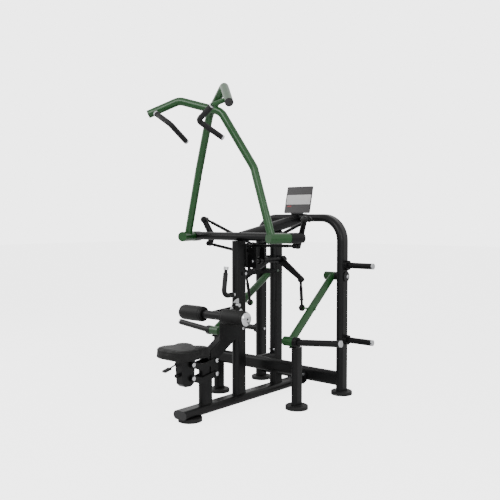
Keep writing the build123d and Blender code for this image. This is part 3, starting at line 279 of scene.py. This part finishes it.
def anodised_plate():
    # Dark anodised aluminium sheet behind the printed panels
    return finish("dark_anodised_sheet", bpy.context.scene.lat_colours.sheet_dark, 35, 0.08, 3.0, 0.01,
                  (0.3, 0.42), sockets={"Metallic": 0.2})


def printed_sheet(kind):
    # Screen-printed polycarbonate: even colour under a semi-gloss skin
    colour = getattr(bpy.context.scene.lat_colours, kind)
    return finish("printed_polycarbonate_" + kind, colour, 50, 0.04, 2.5, 0.01, (0.28, 0.4))


SLOT_FINISH = {
    "black_powder_coat": powder_coat,
    "green_paint": arm_paint,
    "rubber": moulded_rubber,
    "vinyl": seat_vinyl,
    "chrome": bright_chrome,
    "plastic": moulded_plastic,
    "placard": anodised_plate,
}


# ---------------------------------------------------------------- bench tools
def deselect():
    if bpy.context.object and bpy.context.object.mode != "OBJECT":
        bpy.ops.object.mode_set(mode="OBJECT")
    bpy.ops.object.select_all(action="DESELECT")


def only(obj):
    """Makes obj the one selected and active object."""
    deselect()
    obj.select_set(True)
    bpy.context.view_layer.objects.active = obj


def standing(point, direction):
    """Matrix that puts a piece's +Z along the direction at a point given in millimetres."""
    turn = Vector((0, 0, 1)).rotation_difference(Vector(direction)).to_matrix().to_4x4()
    return Matrix.Translation(Vector(point) * MM) @ turn


def put(obj, matrix):
    """Applies a place to obj's mesh, so that its object stays at the origin."""
    obj.matrix_world = matrix
    only(obj)
    bpy.ops.object.transform_apply(location=True, rotation=True, scale=True)


def joined(pieces):
    """All pieces as one object."""
    deselect()
    for piece in pieces:
        piece.select_set(True)
    bpy.context.view_layer.objects.active = pieces[0]
    bpy.ops.object.join()
    return bpy.context.object


def done(obj, name, material, body, smooth=40, nodes=()):
    """Names a finished piece, gives it its finish and ties it to its body."""
    obj.name = name
    obj.data.name = name
    obj.data.materials.clear()
    obj.data.materials.append(material)
    only(obj)
    bpy.ops.object.mode_set(mode="EDIT")
    bpy.ops.mesh.select_all(action="SELECT")
    bpy.ops.mesh.remove_doubles(threshold=0.00001)
    bpy.ops.mesh.normals_make_consistent(inside=False)
    bpy.ops.object.mode_set(mode="OBJECT")
    bpy.ops.object.shade_smooth_by_angle(angle=math.radians(smooth))
    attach(obj, body)
    if nodes:
        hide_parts(*nodes)
    return obj


def swept(points, radii, thickness, closed=False, steps=6):
    """Round bar swept along points in millimetres, its thickness scaled at each point."""
    curve = bpy.data.curves.new("path", "CURVE")
    curve.dimensions = "3D"
    curve.bevel_depth = thickness * MM
    curve.bevel_resolution = steps
    curve.use_fill_caps = not closed
    line = curve.splines.new("POLY")
    line.points.add(len(points) - 1)
    for knot, place, radius in zip(line.points, points, radii):
        knot.co = (*(Vector(place) * MM), 1.0)
        knot.radius = radius
    line.use_cyclic_u = closed
    obj = bpy.data.objects.new("path", curve)
    bpy.context.collection.objects.link(obj)
    only(obj)
    bpy.ops.object.convert(target="MESH")
    return bpy.context.object


def rounded_path(points, bend):
    """Points of a path whose middle corner is rounded by a bend radius."""
    first, corner, last = points
    back, on = (first - corner).normalized(), (last - corner).normalized()
    half = back.angle(on) / 2
    reach = bend / math.tan(half)
    centre = corner + (back + on).normalized() * (bend / math.sin(half))
    start, end = (corner + back * reach - centre) / bend, (corner + on * reach - centre) / bend
    arc = [centre + start.slerp(end, step / 8) * bend for step in range(9)]
    return [first] + arc + [last]


def mirror_x(point):
    return Vector((-point[0], point[1], point[2]))


def button_head(radius, height):
    """Domed bolt head with a hex socket, standing on the origin."""
    deselect()
    bpy.ops.mesh.primitive_cylinder_add(vertices=24, radius=radius * MM, depth=height * MM,
                                        location=(0, 0, height * MM / 2))
    head = bpy.context.object
    bpy.ops.object.mode_set(mode="EDIT")
    bpy.ops.mesh.select_mode(type="FACE")
    pick(head, lambda face: face.normal.z > 0.9)
    bpy.ops.mesh.bevel(offset=height * MM * 0.6, segments=4, affect="EDGES")
    pick(head, lambda face: face.normal.z > 0.99 and face.center.z > height * MM * 0.98)
    bpy.ops.mesh.inset(thickness=radius * MM * 0.3)
    bpy.ops.mesh.extrude_region_move(TRANSFORM_OT_translate={"value": (0, 0, -height * MM * 0.5)})
    bpy.ops.object.mode_set(mode="OBJECT")
    only(head)
    bpy.ops.object.transform_apply(location=True, rotation=True, scale=True)
    return head


def pick(obj, wanted):
    """Selects the faces of obj for which wanted(face) is true; stays in edit mode."""
    bpy.ops.mesh.select_all(action="DESELECT")
    bpy.ops.object.mode_set(mode="OBJECT")
    for face in obj.data.polygons:
        face.select = bool(wanted(face))
    bpy.ops.object.mode_set(mode="EDIT")


# ---------------------------------------------------------------- operators
class LAT_OT_paint_frame(bpy.types.Operator):
    """Gives every carried-over solid the finish of its slot"""
    bl_idname = "lat.paint_frame"
    bl_label = "Paint the frame"

    def execute(self, context):
        for row in frame["record"]["subparts"]:
            if row["node"] not in frame["nodes"]:
                raise RuntimeError("no solid named " + row["node"])
            node = frame["nodes"][row["node"]]
            material = SLOT_FINISH[row["material_slot"]]()
            for place in node.material_slots:
                place.material = material
        return {"FINISHED"}


class LAT_OT_seat_cushion(bpy.types.Operator):
    """Cuts, stuffs and pipes the seat cushion"""
    bl_idname = "lat.seat_cushion"
    bl_label = "Seat cushion"

    def execute(self, context):
        sizes = context.scene.lat_sizes
        outline = [Vector((x, y)) for x, y in PAD_HALF] + [Vector((-x, y)) for x, y in PAD_HALF[-2:0:-1]]
        deep = (SEAT_TOP - PAD_LOW) * MM
        edge = sizes.pad_edge
        curve = bpy.data.curves.new("cushion", "CURVE")
        curve.dimensions = "2D"
        curve.fill_mode = "BOTH"
        curve.extrude = deep / 2 - edge
        curve.bevel_depth = edge
        curve.bevel_resolution = 5
        curve.resolution_u = 10
        line = curve.splines.new("BEZIER")
        line.bezier_points.add(len(outline) - 1)
        for knot, place in zip(line.bezier_points, outline):
            inward = (PAD_MIDDLE - place).normalized() * (sizes.pad_shrink + edge) / MM
            knot.co = (*((place + inward) * MM), 0)
            knot.handle_left_type = knot.handle_right_type = "AUTO"
        line.use_cyclic_u = True
        pad = bpy.data.objects.new("cushion", curve)
        bpy.context.collection.objects.link(pad)
        pad.location = (0, 0, (SEAT_TOP + PAD_LOW) / 2 * MM - 0.001)
        only(pad)
        bpy.ops.object.convert(target="MESH")
        pad = bpy.context.object
        bpy.ops.object.transform_apply(location=True, rotation=True, scale=True)
        remesh = pad.modifiers.new("foam", "REMESH")
        remesh.mode = "VOXEL"
        remesh.voxel_size = 5 * MM
        bpy.ops.object.modifier_apply(modifier=remesh.name)
        stuff(pad, PAD_LOW * MM + 0.006, 4 * MM)
        ease = pad.modifiers.new("ease", "SMOOTH")
        ease.factor = 0.5
        ease.iterations = 5
        bpy.ops.object.modifier_apply(modifier=ease.name)
        finer = pad.modifiers.new("finer", "SUBSURF")
        finer.levels = finer.render_levels = 1
        bpy.ops.object.modifier_apply(modifier=finer.name)
        done(pad, "seat_cushion", seat_vinyl(), "seat_carriage", 60, ["seat_pad"])
        seams = []
        for height in (SEAT_TOP - 11, PAD_LOW + 10):
            ring = [laid_on(pad, point) for point in cushion_ring(outline, height, 6)]
            seams.append(swept(ring, [1.0] * len(ring), sizes.piping / MM, closed=True, steps=3))
        done(joined(seams), "seat_piping", seat_vinyl(), "seat_carriage", 60)
        return {"FINISHED"}


def cushion_ring(outline, height, out):
    """Closed smooth ring round the cushion at a height, moved outwards."""
    curve = bpy.data.curves.new("ring", "CURVE")
    curve.dimensions = "3D"
    curve.resolution_u = 8
    line = curve.splines.new("BEZIER")
    line.bezier_points.add(len(outline) - 1)
    for knot, place in zip(line.bezier_points, outline):
        away = (place - PAD_MIDDLE).normalized() * out
        knot.co = (place.x + away.x, place.y + away.y, height)
        knot.handle_left_type = knot.handle_right_type = "AUTO"
    line.use_cyclic_u = True
    obj = bpy.data.objects.new("ring", curve)
    bpy.context.collection.objects.link(obj)
    mesh = bpy.data.meshes.new_from_object(obj)
    points = [vertex.co.copy() for vertex in mesh.vertices]
    bpy.data.objects.remove(obj)
    bpy.data.meshes.remove(mesh)
    return points


def laid_on(pad, point):
    """The point moved onto the cushion's skin, in millimetres."""
    hit, place = pad.closest_point_on_mesh(point * MM)[:2]
    if not hit:
        raise RuntimeError("the piping misses the cushion")
    return place / MM


def stuff(pad, flat_below, cap):
    """Swells a cushion with cloth under pressure; its flat underside stays put."""
    start = [vertex.co.copy() for vertex in pad.data.vertices]
    held = pad.vertex_groups.new(name="held")
    held.add([v.index for v in pad.data.vertices if v.co.z < flat_below], 1.0, "REPLACE")
    cloth = pad.modifiers.new("stuffing", "CLOTH")
    cloth.settings.use_pressure = True
    cloth.settings.uniform_pressure_force = 4.0
    cloth.settings.effector_weights.gravity = 0.0
    cloth.settings.vertex_group_mass = "held"
    cloth.settings.quality = 5
    scene = bpy.context.scene
    for step in range(1, 21):
        scene.frame_set(step)
    only(pad)
    bpy.ops.object.modifier_apply(modifier=cloth.name)
    scene.frame_set(1)
    for vertex, rest in zip(pad.data.vertices, start):
        move = vertex.co - rest
        if move.length > cap:
            vertex.co = rest + move.normalized() * cap
    pad.vertex_groups.clear()


class LAT_OT_thigh_rollers(bpy.types.Operator):
    """Foam rollers in vinyl sleeves, with a seam ring at each end"""
    bl_idname = "lat.thigh_rollers"
    bl_label = "Thigh rollers"

    def execute(self, context):
        crown = context.scene.lat_sizes.roller_crown / MM
        length = ROLLER_OUTER - ROLLER_INNER
        core = ROLLER_RADIUS - ROLLER_SKIN
        shoulder, level = ROLLER_END[-1]
        middle = tuple((shoulder + (length - 2 * shoulder) * i / 14, level) for i in range(1, 14))
        far = tuple((length - along, drop) for along, drop in reversed(ROLLER_END))
        for side, name in ((1, "right"), (-1, "left")):
            points, radii = [], []
            for along, drop in ROLLER_END + middle + far:
                swell = crown * math.sin(math.pi * (along / length))
                radius = core + swell + drop
                points.append(Vector((side * (ROLLER_INNER + along), ROLLER_Y, ROLLER_Z)))
                radii.append(radius / ROLLER_RADIUS)
            roller = swept(points, radii, ROLLER_RADIUS, steps=14)
            done(roller, "roller_cushion_" + name, seat_vinyl(), name + "_roller", 50,
                 ["thigh_roller_" + name])
        return {"FINISHED"}


class LAT_OT_roller_caps(bpy.types.Operator):
    """Polished domes on the rollers' outer ends, each with its centre screw"""
    bl_idname = "lat.roller_caps"
    bl_label = "Roller caps"

    def execute(self, context):
        outer = ROLLER_OUTER + DOME_GAP
        domes, screws = [], []
        for side in (1, -1):
            points = [Vector((side * (outer + along), ROLLER_Y, ROLLER_Z)) for along, radius in DOME_PROFILE]
            domes.append(swept(points, [radius / DOME_RADIUS for along, radius in DOME_PROFILE], DOME_RADIUS,
                               steps=14))
            screw = button_head(7.5, 3.2)
            put(screw, standing((side * (outer + DOME_SCREW_SEAT), ROLLER_Y, ROLLER_Z), (side, 0, 0)))
            screws.append(screw)
        done(joined(domes), "roller_domes", bright_chrome(), "roller_arm", 50, ["roller_caps"])
        done(joined(screws), "roller_dome_screws", moulded_plastic(), "roller_arm", 40)
        return {"FINISHED"}


class LAT_OT_grips(bpy.types.Operator):
    """Rubber grips on both handle arms and on the fixed column handle"""
    bl_idname = "lat.grips"
    bl_label = "Grips"

    def execute(self, context):
        for name, turn in (("right", mirror_x), ("left", lambda point: Vector(point))):
            path = [turn(point) for point in GRIP_PATH]
            path[0] = path[0] + (path[1] - path[0]).normalized() * GRIP_COLLAR
            grip = grip_sleeve(rounded_path(path, GRIP_BEND), GRIP_RADIUS)
            done(grip, "hand_grip_" + name, moulded_rubber(), name + "_handle_arm", 50,
                 ["grip_" + name])
        grip = grip_sleeve(rounded_path(HANDLE_PATH, HANDLE_BEND), FIXED_GRIP_RADIUS)
        done(grip, "column_grip_sleeve", moulded_rubber(), "frame", 50, ["column_handle_grip"])
        return {"FINISHED"}


def grip_sleeve(path, radius):
    """Sleeve along a path with a rolled lip and shallow rings at both ends."""
    total = sum((b - a).length for a, b in zip(path, path[1:]))
    marks = list(GRIP_RINGS)
    last = marks[-1]
    spots, sizes, run = [], [], 0.0
    stations = sorted(set(marks + [total - mark for mark in marks]))
    for a, b in zip(path, path[1:]):
        span = (b - a).length
        for station in stations:
            if run - 1e-6 <= station < run + span:
                spots.append((station, a.lerp(b, (station - run) / span)))
        if last + 1 < run < total - last - 1:
            spots.append((run, a.copy()))
        run += span
    spots.append((total, path[-1]))
    spots.sort(key=lambda item: item[0])
    kept = [spots[0]]
    for spot in spots[1:]:
        if spot[0] - kept[-1][0] > 0.3:
            kept.append(spot)
    for station, place in kept:
        near = min(station, total - station)
        key = min(marks, key=lambda mark: abs(mark - near))
        sizes.append(GRIP_RINGS[key] if near < last + 0.5 else 1.0)
    return swept([place for station, place in kept], sizes, radius, steps=8)


class LAT_OT_placard_sheets(bpy.types.Operator):
    """Printed panels on the placard, bare of words"""
    bl_idname = "lat.placard_sheets"
    bl_label = "Placard panels"

    def execute(self, context):
        thick = context.scene.lat_sizes.sheet_thick / MM
        panels = (("placard_header", "sheet_dark", (-122, 122), (158, 215), 0),
                  ("placard_panel", "sheet_light", (-118, 118), (72, 152), 0),
                  ("placard_footer", "sheet_dark", (-122, 122), (6, 66), 0),
                  ("placard_tag", "sheet_tag", (-104, -62), (52, 62), thick))
        for name, kind, across, up, lift in panels:
            sheet = printed_panel(across, up, thick, lift)
            done(sheet, name, printed_sheet(kind), "frame", 30)
        return {"FINISHED"}


def printed_panel(across, up, thick, lift):
    """Thin sheet with rounded corners on the placard's face; up is measured from its lower edge."""
    wide, tall = (across[1] - across[0]) * MM, (up[1] - up[0]) * MM
    deselect()
    bpy.ops.mesh.primitive_cube_add(size=1, location=(0, 0, 0))
    sheet = bpy.context.object
    sheet.scale = (wide, tall, thick * MM)
    bpy.ops.object.transform_apply(location=False, rotation=False, scale=True)
    bpy.ops.object.mode_set(mode="EDIT")
    bpy.ops.mesh.select_mode(type="EDGE")
    bpy.ops.mesh.select_all(action="DESELECT")
    bpy.ops.object.mode_set(mode="OBJECT")
    for edge in sheet.data.edges:
        a, b = (sheet.data.vertices[index].co for index in edge.vertices)
        edge.select = abs(a.z - b.z) > thick * MM / 2
    bpy.ops.object.mode_set(mode="EDIT")
    bpy.ops.mesh.bevel(offset=min(4 * MM, tall / 3), segments=4, affect="EDGES")
    bpy.ops.object.mode_set(mode="OBJECT")
    upward = Vector((0, math.sin(PLACARD_LEAN), math.cos(PLACARD_LEAN)))
    facing = Vector((0, -math.cos(PLACARD_LEAN), math.sin(PLACARD_LEAN)))
    centre = PLACARD_LOW + upward * (up[0] + up[1]) / 2 + facing * (PLACARD_THICK + thick / 2 + lift)
    centre.x += (across[0] + across[1]) / 2
    place = Matrix((Vector((1, 0, 0)), upward, facing)).transposed().to_4x4()
    put(sheet, Matrix.Translation(centre * MM) @ place)
    return sheet


def ring_points(centre, axis, radius, count=48):
    """Points of a circle round an axis."""
    turn = Vector((0, 0, 1)).rotation_difference(Vector(axis)).to_matrix()
    steps = [2 * math.pi * i / count for i in range(count)]
    return [Vector(centre) + turn @ Vector((math.cos(a) * radius, math.sin(a) * radius, 0)) for a in steps]


def oval_points(centre, along, side, wide, thin, count=72):
    """Points of a flat oval; along is its wide direction and side its thin one."""
    half, flat = thin / 2, (wide - thin) / 2
    points = []
    for i in range(count):
        angle = 2 * math.pi * i / count
        shift = flat if math.cos(angle) >= 0 else -flat
        points.append(Vector(centre) + Vector(along) * (shift + half * math.cos(angle))
                      + Vector(side) * half * math.sin(angle))
    return points


class LAT_OT_weld_beads(bpy.types.Operator):
    """Rippled weld beads where the tubes meet"""
    bl_idname = "lat.weld_beads"
    bl_label = "Weld beads"

    def execute(self, context):
        thick = context.scene.lat_sizes.weld_bead / MM
        depth, width = Vector((0, 1, 0)), Vector((1, 0, 0))
        loops = [oval_points(place, depth, width, wide, thin) for place, wide, thin in COLUMN_SEAMS]
        for side in (1, -1):
            for (x, y, z), wide, thin in LEG_SEAMS:
                loops.append(oval_points((side * x, y, z), depth, width, wide, thin))
            for height in HORN_HEIGHTS:
                loops.append(ring_points((side * 437, 1260, height), (1, 0, 0), HORN_SEAM_RADIUS))
        beads = []
        for loop in loops:
            ripple = [0.85 + 0.3 * (i % 2) for i in range(len(loop))]
            beads.append(swept(loop, ripple, thick, closed=True, steps=2))
        done(joined(beads), "frame_weld_beads", powder_coat(), "frame", 60)
        for side, name in ((1, "right"), (-1, "left")):
            beads = []
            axis = Vector((side * SHAFT_REAR.x, SHAFT_REAR.y, 0))
            face = Vector((side * SHAFT_FACE.x, SHAFT_FACE.y, SHAFT_FACE.z))
            for station in (SLEEVE_SEAM_INSET, SLEEVE_LENGTH - SLEEVE_SEAM_INSET):
                loop = ring_points(face + axis * station, axis, SLEEVE_SEAM_RADIUS)
                ripple = [0.8 + 0.2 * (i % 2) for i in range(len(loop))]
                beads.append(swept(loop, ripple, 1.6, closed=True, steps=2))
            done(joined(beads), "sleeve_rings_" + name, arm_paint(), name + "_handle_arm", 60)
        return {"FINISHED"}


class LAT_OT_fasteners(bpy.types.Operator):
    """Domed bolt heads on the pivots and plates"""
    bl_idname = "lat.fasteners"
    bl_label = "Fasteners"

    def execute(self, context):
        dome = context.scene.lat_sizes.bolt_dome / MM
        spots = {"frame": [], "seat_carriage": []}
        for side in (1, -1):
            for body, (x, y, z), (out, back, up), radius in BOLTS:
                spots[body].append(((side * x, y, z), (side * out, back, up), radius))
        for body, places in spots.items():
            heads = []
            for place, direction, radius in places:
                head = button_head(radius, dome)
                put(head, standing(Vector(place) - Vector(direction) * 0.2, direction))
                heads.append(head)
            done(joined(heads), body + "_bolt_heads", bright_chrome(), body, 40)
        return {"FINISHED"}


def on_shaft(side, station, out, up):
    """Point at a station behind the sleeve's face, out and up from the shaft of that side."""
    point = SHAFT_FACE + SHAFT_REAR * station + SHAFT_OUT * out + Vector((0, 0, up))
    return Vector((side * point.x, point.y, point.z))


class LAT_OT_link_sleeves(bpy.types.Operator):
    """Turnbuckle sleeve with a lock nut at each end on every link"""
    bl_idname = "lat.link_sleeves"
    bl_label = "Link sleeves"

    def execute(self, context):
        for body, (ball, pin, radius) in LINKS.items():
            run = (pin - ball).normalized()
            length = (pin - ball).length
            marks = ((SOCKET_LENGTH + SLEEVE_START, 0.8), (SOCKET_LENGTH + SLEEVE_FULL, 1), (length / 2, 1),
                     (length - SOCKET_LENGTH - SLEEVE_FULL, 1), (length - SOCKET_LENGTH - SLEEVE_START, 0.8))
            pieces = [swept([ball + run * along for along, size in marks], [size for along, size in marks],
                            radius, steps=5)]
            for near, way in ((ball, run), (pin, -run)):
                deselect()
                bpy.ops.mesh.primitive_cylinder_add(vertices=6, radius=(radius + NUT_PROUD) * MM,
                                                    depth=NUT_HEIGHT * MM)
                nut = bpy.context.object
                bpy.ops.object.mode_set(mode="EDIT")
                bpy.ops.mesh.select_all(action="SELECT")
                bpy.ops.mesh.bevel(offset=1.0 * MM, segments=2, affect="EDGES")
                bpy.ops.object.mode_set(mode="OBJECT")
                put(nut, standing(near + way * (SOCKET_LENGTH + NUT_HEIGHT / 2), way))
                pieces.append(nut)
            if "tie_rod" in body:
                for place, axis, size in ((ball, Vector((1, 0, 0)), TIE_BALL_EYE),
                                          (pin, Vector((0, 1, 0)), TIE_PIN_EYE)):
                    pieces.append(swept([place + axis * along for along, share in EYE_PROFILE],
                                        [share for along, share in EYE_PROFILE], size, steps=8))
            done(joined(pieces), "sleeve_" + body, powder_coat(), body, 35)
        return {"FINISHED"}


class LAT_OT_lever_ribs(bpy.types.Operator):
    """Rounded ribs and end bosses of the cast levers on both shafts"""
    bl_idname = "lat.lever_ribs"
    bl_label = "Lever ribs"

    def execute(self, context):
        for side, name in ((1, "right"), (-1, "left")):
            hub, elbow, drive, sync = (on_shaft(side, *spot)
                                       for spot in (LEVER_HUB, LEVER_ELBOW, LEVER_DRIVE, LEVER_SYNC))
            ribs = [swept([hub.lerp(elbow, 0.3), hub.lerp(elbow, 0.7), elbow], [1, 1, 1], RIB_RADIUS,
                          steps=6)]
            for tip in (drive, sync):
                ribs.append(swept([elbow, elbow.lerp(tip, 0.5), tip], [1.0, 0.95, 0.9], RIB_RADIUS, steps=6))
            forward = Vector((-side * SHAFT_REAR.x, -SHAFT_REAR.y, 0))
            for tip, radius in ((drive, 25.0), (sync, 22.0), (elbow, 25.0)):
                ribs.append(swept([tip + forward * along for along, size in BOSS_PROFILE],
                                  [size for along, size in BOSS_PROFILE], radius, steps=8))
            done(joined(ribs), "lever_ribs_" + name, powder_coat(), name + "_handle_arm",
                 40)
        return {"FINISHED"}


def glow(tree, socket, seen, mirrored, cast):
    """Sets a strength by what looks at it: the camera, a shiny surface, or a dull one."""
    path = add_node(tree, "ShaderNodeLightPath")
    shiny = add_node(tree, "ShaderNodeMapRange", None,
                     {"Value": path.outputs["Is Glossy Ray"], "To Min": cast, "To Max": mirrored})
    strength = add_node(tree, "ShaderNodeMapRange", None,
                        {"Value": path.outputs["Is Camera Ray"], "To Min": shiny.outputs["Result"],
                         "To Max": seen})
    tree.links.new(strength.outputs["Result"], socket)


class LAT_OT_stage(bpy.types.Operator):
    """Pale floor, soft lights and the camera"""
    bl_idname = "lat.stage"
    bl_label = "Stage"

    def execute(self, context):
        deselect()
        bpy.ops.mesh.primitive_plane_add(size=60, location=(0, 0, -0.0005))
        floor = context.object
        floor.name = "studio_floor"
        paint = finish("pale_painted_floor", to_linear("#f4f4f4"), 900, 0.01, 40, 0.02, (0.75, 0.85))
        surface = paint.node_tree.nodes["Principled BSDF"]
        glow(paint.node_tree, surface.inputs["Emission Strength"], 3.3, 0.3, 0.0)
        surface.inputs["Emission Color"].default_value = to_linear("#ffffff")
        floor.data.materials.append(paint)
        world = context.scene.world or bpy.data.worlds.new("studio")
        context.scene.world = world
        world.use_nodes = True
        backdrop = world.node_tree.nodes["Background"]
        backdrop.inputs["Color"].default_value = to_linear("#ffffff")
        glow(world.node_tree, backdrop.inputs["Strength"], 4.0, 1.25, 0.30)
        for name, place, size, power in LIGHTS:
            bpy.ops.object.light_add(type="AREA", location=place)
            light = context.object
            light.name = name
            light.data.size = size
            light.data.energy = power
            aim = LIGHT_AIM - Vector(place)
            light.rotation_euler = aim.to_track_quat("-Z", "Y").to_euler()
        bpy.ops.object.camera_add(location=CAMERA_PLACE, rotation=CAMERA_TURN)
        camera = context.object
        camera.name = "studio_camera"
        camera.data.sensor_width = CAMERA_SENSOR
        camera.data.lens = CAMERA_LENS
        context.scene.camera = camera
        return {"FINISHED"}


class LAT_PT_panel(bpy.types.Panel):
    """The machine's pieces in the sidebar"""
    bl_label = "Lat pulldown machine"
    bl_idname = "LAT_PT_panel"
    bl_space_type = "VIEW_3D"
    bl_region_type = "UI"
    bl_category = "Lat Pulldown"

    def draw(self, context):
        for group in (context.scene.lat_sizes, context.scene.lat_colours):
            for key in group.bl_rna.properties.keys():
                if key not in ("rna_type", "name"):
                    self.layout.prop(group, key)
        for step in STEPS:
            self.layout.operator(step.bl_idname)


STEPS = (LAT_OT_paint_frame, LAT_OT_seat_cushion, LAT_OT_thigh_rollers, LAT_OT_roller_caps, LAT_OT_grips,
         LAT_OT_placard_sheets, LAT_OT_weld_beads, LAT_OT_fasteners, LAT_OT_link_sleeves, LAT_OT_lever_ribs,
         LAT_OT_stage)
CLASSES = (LatSizes, LatColours) + STEPS + (LAT_PT_panel,)


def register():
    for item in CLASSES:
        bpy.utils.register_class(item)
    bpy.types.Scene.lat_sizes = PointerProperty(type=LatSizes)
    bpy.types.Scene.lat_colours = PointerProperty(type=LatColours)


def unregister():
    del bpy.types.Scene.lat_sizes
    del bpy.types.Scene.lat_colours
    for item in reversed(CLASSES):
        bpy.utils.unregister_class(item)


def main():
    register()
    bpy.ops.lat.paint_frame()
    bpy.ops.lat.seat_cushion()
    bpy.ops.lat.thigh_rollers()
    bpy.ops.lat.roller_caps()
    bpy.ops.lat.grips()
    bpy.ops.lat.placard_sheets()
    bpy.ops.lat.weld_beads()
    bpy.ops.lat.fasteners()
    bpy.ops.lat.link_sleeves()
    bpy.ops.lat.lever_ribs()
    bpy.ops.lat.stage()


if __name__ == "__main__":
    main()
